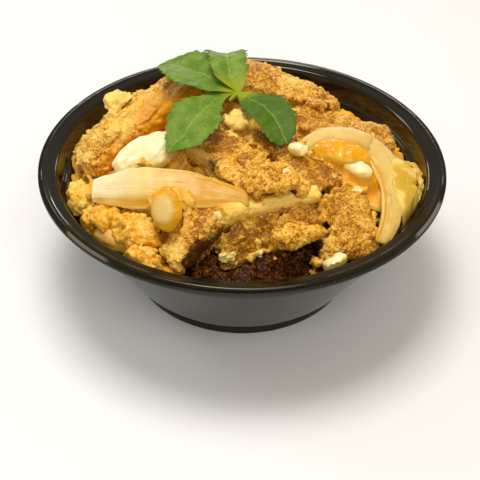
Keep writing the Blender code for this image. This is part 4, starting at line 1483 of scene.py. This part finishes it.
def filleted(corners, steps):
    """A profile with each (radius, height, rounding) corner turned into a small arc."""
    found = []
    for index, (r, z, rounding) in enumerate(corners):
        here = np.array((r, z), float)
        if rounding == 0 or index in (0, len(corners) - 1):
            found.append(tuple(here))
            continue
        before = np.array(corners[index - 1][:2], float) - here
        after = np.array(corners[index + 1][:2], float) - here
        reach = min(rounding, np.linalg.norm(before) * 0.45, np.linalg.norm(after) * 0.45)
        start = here + before / np.linalg.norm(before) * reach
        end = here + after / np.linalg.norm(after) * reach
        for step in range(steps + 1):
            t = step / steps
            found.append(tuple(start * (1 - t) ** 2 + here * 2 * t * (1 - t) + end * t ** 2))
    return found


def turned_mesh(name, profile, steps):
    """A closed form turned about Z from a profile whose two ends lie on the axis."""
    points, faces, rings = [], [], []
    for r, z in profile:
        count = steps if r > 0 else 1
        rings.append(list(range(len(points), len(points) + count)))
        for k in range(count):
            turn = 2 * math.pi * k / steps
            points.append((r * math.cos(turn), r * math.sin(turn), z))
    for low, high in zip(rings, rings[1:]):
        for k in range(steps):
            after = (k + 1) % steps
            if len(low) == 1:
                faces.append((low[0], high[after], high[k]))
            elif len(high) == 1:
                faces.append((low[k], low[after], high[0]))
            else:
                faces.append((low[k], low[after], high[after], high[k]))
    return outward(joined_mesh(name, [(points, faces)]))


def ribbed_ring(bowl):
    """The band of fine ribs that slopes down to the lip's edge."""
    count = bowl.rib_count * 2
    depth = bowl.rib_depth / MM
    points, faces = [], []
    for k in range(count):
        turn = 2 * math.pi * k / count
        tooth = depth if k % 2 else 0.0
        for r, z, ribbed in RIB_SECTION:
            reach = r + tooth * ribbed * 0.5
            high = z + tooth * ribbed * 0.85
            points.append((reach * math.cos(turn), reach * math.sin(turn), high))
    size = len(RIB_SECTION)
    for k, j in itertools.product(range(count), range(size)):
        after, other = (k + 1) % count, (j + 1) % size
        faces.append((k * size + j, k * size + other, after * size + other, after * size + j))
    return outward(joined_mesh("lip_ribs", [(points, faces)]))


def black_bowl(look, bowl):
    body = turned_mesh("bowl_body", filleted(BOWL_PROFILE, steps=3), steps=200)
    piece("bowl_body", body, look, "bowl", "bowl")
    ribs = piece("bowl_lip_ribs", ribbed_ring(bowl), look, "bowl", "bowl")
    ribs.data.shade_flat()


# Stage

def area_light(name, place, aim, size, power, colour):
    lamp = bpy.data.lights.new(name, "AREA")
    lamp.shape = "RECTANGLE"
    lamp.size, lamp.size_y = size
    lamp.energy = power
    lamp.color = colour
    made = bpy.data.objects.new(name, lamp)
    bpy.context.scene.collection.objects.link(made)
    made.location = place
    made.rotation_mode = "QUATERNION"
    made.rotation_quaternion = (Vector(aim) - Vector(place)).to_track_quat("-Z", "Y")
    return made


def studio(look, stage):
    scene = bpy.context.scene
    scene.view_settings.view_transform = "Standard"
    corners = np.array(((-3, -3, 0), (3, -3, 0), (3, 3, 0), (-3, 3, 0)), float)
    floor = bpy.data.objects.new("floor", mesh_of("floor", corners, np.array(((0, 1, 2, 3),))))
    floor.data.materials.append(look)
    scene.collection.objects.link(floor)
    world = bpy.data.worlds.new("studio")
    world.use_nodes = True
    background = world.node_tree.nodes["Background"]
    background.inputs["Color"].default_value = (*stage.air, 1)
    background.inputs["Strength"].default_value = stage.air_strength
    scene.world = world
    heap = (0, 0, 0.08)
    area_light("ceiling", (-0.1, 0.1, 1.2), heap, (0.5, 0.5), stage.ceiling_power, (1, 0.97, 0.93))
    area_light("window", (-0.9, 0.5, 0.55), heap, (0.35, 0.5), stage.window_power, (0.8, 0.9, 1))
    area_light("front", (0.3, -0.9, 1.0), heap, (0.6, 0.6), stage.front_power, (1, 0.98, 0.95))
    strip = area_light("strip", (0.0, 1.3, 0.35), heap, (1.6, 0.08), stage.strip_power, (1, 1, 1))
    strip.visible_diffuse = False


def camera():
    scene = bpy.context.scene
    made = bpy.data.objects.new("camera", bpy.data.cameras.new("camera"))
    scene.collection.objects.link(made)
    ahead, above = Vector(LOOK), Vector(CAMERA_UP)
    turn = Matrix((ahead.cross(above), above, -ahead)).transposed().to_4x4()
    turn.translation = EYE
    made.matrix_world = turn
    made.data.sensor_width = 36
    made.data.lens = FOCAL_LENGTH
    scene.camera = made


# Settings

def length(name, description, default):
    return FloatProperty(name=name, description=description, default=default, min=0,
                         unit="LENGTH", precision=5)


def paint(name, description, default):
    return FloatVectorProperty(name=name, description=description, default=default, size=3,
                               min=0, max=1, subtype="COLOR")


def power(name, default):
    return FloatProperty(name=name, description="Power of this light, in watts", default=default, min=0)


class KatsudonBowlSettings(bpy.types.PropertyGroup):
    rib_count: IntProperty(name="Ribs", description="Number of ribs round the lip",
                           default=450, min=60)
    rib_depth: length("Rib depth", "How far the ribs stand out", 0.0006)
    plastic: paint("Plastic", "The bowl's black", (0.005, 0.0045, 0.0025))
    plastic_light: paint("Plastic, flow marks", "The faint lighter marks", (0.009, 0.008, 0.005))
    # Painted reflection: a warm tint on everything the plastic reflects
    painted_reflection_tint: paint("Reflections", "Tint of what the plastic reflects", (1.0, 0.88, 0.66))


class KatsudonCutletSettings(bpy.types.PropertyGroup):
    crumb_size: length("Crumb size", "Radius of a usual crumb", 0.00062)
    crumb_spacing: length("Crumb spacing", "Distance between crumbs", 0.0014)
    skin_grain: length("Skin grain", "Size of the smallest form in the crust", 0.0005)
    kept_share: FloatProperty(name="Kept share", default=0.65, min=0.1, max=1,
                              description="Share of triangles left when hidden parts are thinned")
    light_crumb: paint("Light crumb", "Palest crumbs", (0.92, 0.60, 0.13))
    gold_crumb: paint("Golden crumb", "Golden crumbs", (0.80, 0.42, 0.036))
    brown_crumb: paint("Brown crumb", "Browned crumbs", (0.62, 0.27, 0.010))
    deep_crumb: paint("Deep brown crumb", "Crumbs fried hardest", (0.36, 0.13, 0.005))
    # Painted shade in the pits between crumbs
    painted_pit_shade: paint("Dark crumb", "Pits between crumbs", (0.30, 0.09, 0.004))
    egg_coat: paint("Egg coat", "Egg over the crumbs", (0.92, 0.50, 0.05))
    egg_cream: paint("Egg coat, pale", "Paler egg over the crumbs", (0.96, 0.68, 0.18))
    # Also painted as shade in pits and between pieces
    sauce: paint("Sauce", "Crumbs soaked with sauce", (0.09, 0.024, 0.002))
    sauce_orange: paint("Sauce, thin", "Thin sauce on the crust", (0.72, 0.28, 0.002))
    glaze: paint("Glaze", "Brightest orange on a cut side", (0.94, 0.44, 0.003))
    meat: paint("Meat", "Cooked pork", (0.50, 0.20, 0.03))
    meat_light: paint("Meat, light", "Paler fibres", (0.66, 0.34, 0.08))
    ridge: paint("Pale meat", "The pale cut side", (1.0, 0.62, 0.09))
    ridge_light: paint("Pale meat, light", "Its paler fibres", (1.0, 0.74, 0.19))


class KatsudonEggSettings(bpy.types.PropertyGroup):
    curd: paint("Curd", "Yellow curds", (0.87, 0.45, 0.028))
    cream: paint("Cream", "Paler curds", (0.96, 0.68, 0.17))
    orange: paint("Orange", "Curds stained by sauce", (0.72, 0.28, 0.006))
    # Painted shade in the creases between curds
    shade: paint("Creases", "Creases between curds", (0.42, 0.14, 0.004))
    # Also painted as shade where the egg is shut in, deep in gaps and at the front
    sauce: paint("Sauce", "Sauce at the bottom", (0.022, 0.004, 0.0004))
    sauce_thin: paint("Sauce, thin", "Thin sauce", (0.17, 0.05, 0.002))
    white: paint("White", "Set egg white", (0.96, 0.85, 0.48))
    white_yellow: paint("White, yellow", "Egg white with yolk in it", (0.95, 0.70, 0.20))
    yolk: paint("Yolk", "Glossy yolk", (0.84, 0.37, 0.0015))
    yolk_light: paint("Yolk, light", "Thinner yolk", (0.88, 0.50, 0.03))
    olive: paint("Clear egg", "Clear egg soaked with sauce", (0.66, 0.40, 0.03))


class KatsudonOnionSettings(bpy.types.PropertyGroup):
    thickness: length("Thickness", "Thickness of a slice", 0.0024)
    flesh: paint("Flesh", "Simmered onion", (0.84, 0.61, 0.17))
    pale: paint("Flesh, pale", "Paler ribs", (0.90, 0.72, 0.33))
    # Paler clear end, partly a painted highlight
    tip: paint("Flesh, clear", "The clear end of a slice", (0.90, 0.83, 0.58))
    stained: paint("Flesh, stained", "Onion stained by sauce", (0.66, 0.345, 0.02))
    rim: paint("Rim", "Edge of a slice", (0.92, 0.64, 0.18))
    ring: paint("Ring", "Darker ring of the small piece", (0.76, 0.38, 0.002))


class KatsudonLeafSettings(bpy.types.PropertyGroup):
    thickness: length("Thickness", "Thickness of the blade", 0.0004)
    blade: paint("Blade", "The leaf's green", (0.135, 0.255, 0.014))
    blade_light: paint("Blade, light", "Lighter green", (0.24, 0.365, 0.04))
    blade_dark: paint("Blade, dark", "Darker green", (0.045, 0.11, 0.001))
    vein: paint("Veins", "The veins", (0.32, 0.42, 0.08))
    stalk: paint("Stalk", "The stalks", (0.28, 0.32, 0.004))


class KatsudonStageSettings(bpy.types.PropertyGroup):
    floor: paint("Floor", "The floor", (0.88, 0.88, 0.88))
    floor_light: paint("Floor, light", "The floor's lighter tone", (0.90, 0.90, 0.90))
    air: paint("Air", "Light from all round", (1.0, 0.90, 0.74))
    air_strength: FloatProperty(name="Air strength", description="Strength of light from all round",
                                default=0.4, min=0)
    ceiling_power: power("Ceiling", 8.9)
    window_power: power("Window", 2.5)
    front_power: power("Front light", 4.8)
    strip_power: power("Strip light", 5.0)


SETTINGS = {
    "katsudon_bowl": KatsudonBowlSettings,
    "katsudon_cutlet": KatsudonCutletSettings,
    "katsudon_egg": KatsudonEggSettings,
    "katsudon_onion": KatsudonOnionSettings,
    "katsudon_leaf": KatsudonLeafSettings,
    "katsudon_stage": KatsudonStageSettings,
}
HEAP = Heap()


# Operators

class KATSUDON_OT_bowl(bpy.types.Operator):
    """Make the black bowl"""
    bl_idname = "katsudon.bowl"
    bl_label = "Bowl"

    def execute(self, context):
        bowl = context.scene.katsudon_bowl
        black_bowl(plastic_finish(bowl), bowl)
        return {"FINISHED"}


class KATSUDON_OT_egg_bed(bpy.types.Operator):
    """Make the egg that fills the bowl"""
    bl_idname = "katsudon.egg_bed"
    bl_label = "Egg filling"

    def execute(self, context):
        scene = context.scene
        look = curd_finish("egg_bed", scene.katsudon_egg, scene.katsudon_cutlet, 0.08)
        egg_bed(look, HEAP, SEEDS["bed"])
        return {"FINISHED"}


class KATSUDON_OT_egg_curds(bpy.types.Operator):
    """Make the clumps of egg curds and the bits between the pieces"""
    bl_idname = "katsudon.egg_curds"
    bl_label = "Egg curds"

    def execute(self, context):
        scene = context.scene
        look = curd_finish("egg_curd", scene.katsudon_egg, scene.katsudon_cutlet, 0.22)
        for seed, name in enumerate(CURDS, SEEDS["curds"]):
            curd_lump(name, look, name.rsplit("_", 1)[0], HEAP, seed)
        crevice_bits(look, HEAP, SEEDS["bits"])
        return {"FINISHED"}


class KATSUDON_OT_soft_egg(bpy.types.Operator):
    """Make the smooth lumps of egg white and yolk"""
    bl_idname = "katsudon.soft_egg"
    bl_label = "Egg white and yolk"

    def execute(self, context):
        egg = context.scene.katsudon_egg
        looks = {
            "egg_white": smooth_egg_finish("egg_white", egg.white, egg.white_yellow, egg.curd),
            "egg_yolk": smooth_egg_finish("egg_yolk", egg.yolk, egg.yolk_light, egg.orange),
            "egg_curd": smooth_egg_finish("egg_clear", egg.olive, egg.cream, egg.orange),
        }
        for seed, name in enumerate(SOFT_LUMPS, SEEDS["soft"]):
            soft_lump(name, looks[name.rsplit("_", 1)[0]], seed)
        egg_flecks(looks["egg_white"], SEEDS["flecks"])
        for seed, name in enumerate(SHEETS, SEEDS["sheets"]):
            egg_sheet(name, looks[name.rsplit("_", 2)[0]], HEAP, seed)
        return {"FINISHED"}


class KATSUDON_OT_cutlets(bpy.types.Operator):
    """Make the breaded cutlet slices"""
    bl_idname = "katsudon.cutlets"
    bl_label = "Cutlet slices"

    def execute(self, context):
        cutlet = context.scene.katsudon_cutlet
        look = breading_finish(cutlet)
        for seed, name in enumerate(CUTLETS, SEEDS["slices"]):
            breaded_slice(name, look, cutlet, HEAP, seed)
        return {"FINISHED"}


class KATSUDON_OT_meat(bpy.types.Operator):
    """Make the meat that the cut sides show"""
    bl_idname = "katsudon.meat"
    bl_label = "Meat"

    def execute(self, context):
        cutlet = context.scene.katsudon_cutlet
        look = meat_finish(cutlet)
        for seed, name in enumerate(CUT_SIDES, SEEDS["cut_sides"]):
            cut_side(name, look, cutlet, HEAP, seed)
        return {"FINISHED"}


class KATSUDON_OT_onions(bpy.types.Operator):
    """Make the onion slices"""
    bl_idname = "katsudon.onions"
    bl_label = "Onion slices"

    def execute(self, context):
        onion = context.scene.katsudon_onion
        look = onion_finish(onion)
        for seed, name in enumerate(ONIONS, SEEDS["onions"]):
            onion_slice(name, look, onion, seed)
        return {"FINISHED"}


class KATSUDON_OT_mitsuba(bpy.types.Operator):
    """Make the sprig of mitsuba"""
    bl_idname = "katsudon.mitsuba"
    bl_label = "Mitsuba sprig"

    def execute(self, context):
        leaf = context.scene.katsudon_leaf
        mitsuba(leaf_finish(leaf), leaf, HEAP)
        return {"FINISHED"}


class KATSUDON_OT_stage(bpy.types.Operator):
    """Make the floor, the lights and the camera"""
    bl_idname = "katsudon.stage"
    bl_label = "Floor, lights and camera"

    def execute(self, context):
        stage = context.scene.katsudon_stage
        studio(floor_finish(stage), stage)
        camera()
        return {"FINISHED"}


OPERATORS = (
    KATSUDON_OT_bowl,
    KATSUDON_OT_egg_bed,
    KATSUDON_OT_egg_curds,
    KATSUDON_OT_soft_egg,
    KATSUDON_OT_cutlets,
    KATSUDON_OT_meat,
    KATSUDON_OT_onions,
    KATSUDON_OT_mitsuba,
    KATSUDON_OT_stage,
)


class KATSUDON_PT_pieces(bpy.types.Panel):
    """Lists the pieces and their settings"""
    bl_label = "Katsudon"
    bl_space_type = "VIEW_3D"
    bl_region_type = "UI"
    bl_category = "Katsudon"

    def draw(self, context):
        for operator in OPERATORS:
            self.layout.operator(operator.bl_idname)
        for name in SETTINGS:
            group = getattr(context.scene, name)
            box = self.layout.box()
            for key in group.bl_rna.properties.keys():
                if key not in ("rna_type", "name"):
                    box.prop(group, key)


def register():
    for name, group in SETTINGS.items():
        bpy.utils.register_class(group)
        setattr(bpy.types.Scene, name, PointerProperty(type=group))
    for operator in OPERATORS:
        bpy.utils.register_class(operator)
    bpy.utils.register_class(KATSUDON_PT_pieces)


def unregister():
    bpy.utils.unregister_class(KATSUDON_PT_pieces)
    for operator in reversed(OPERATORS):
        bpy.utils.unregister_class(operator)
    for name, group in SETTINGS.items():
        delattr(bpy.types.Scene, name)
        bpy.utils.unregister_class(group)


def main():
    register()
    for operator in OPERATORS:
        group, name = operator.bl_idname.split(".")
        getattr(getattr(bpy.ops, group), name)()


if __name__ == "__main__":
    main()
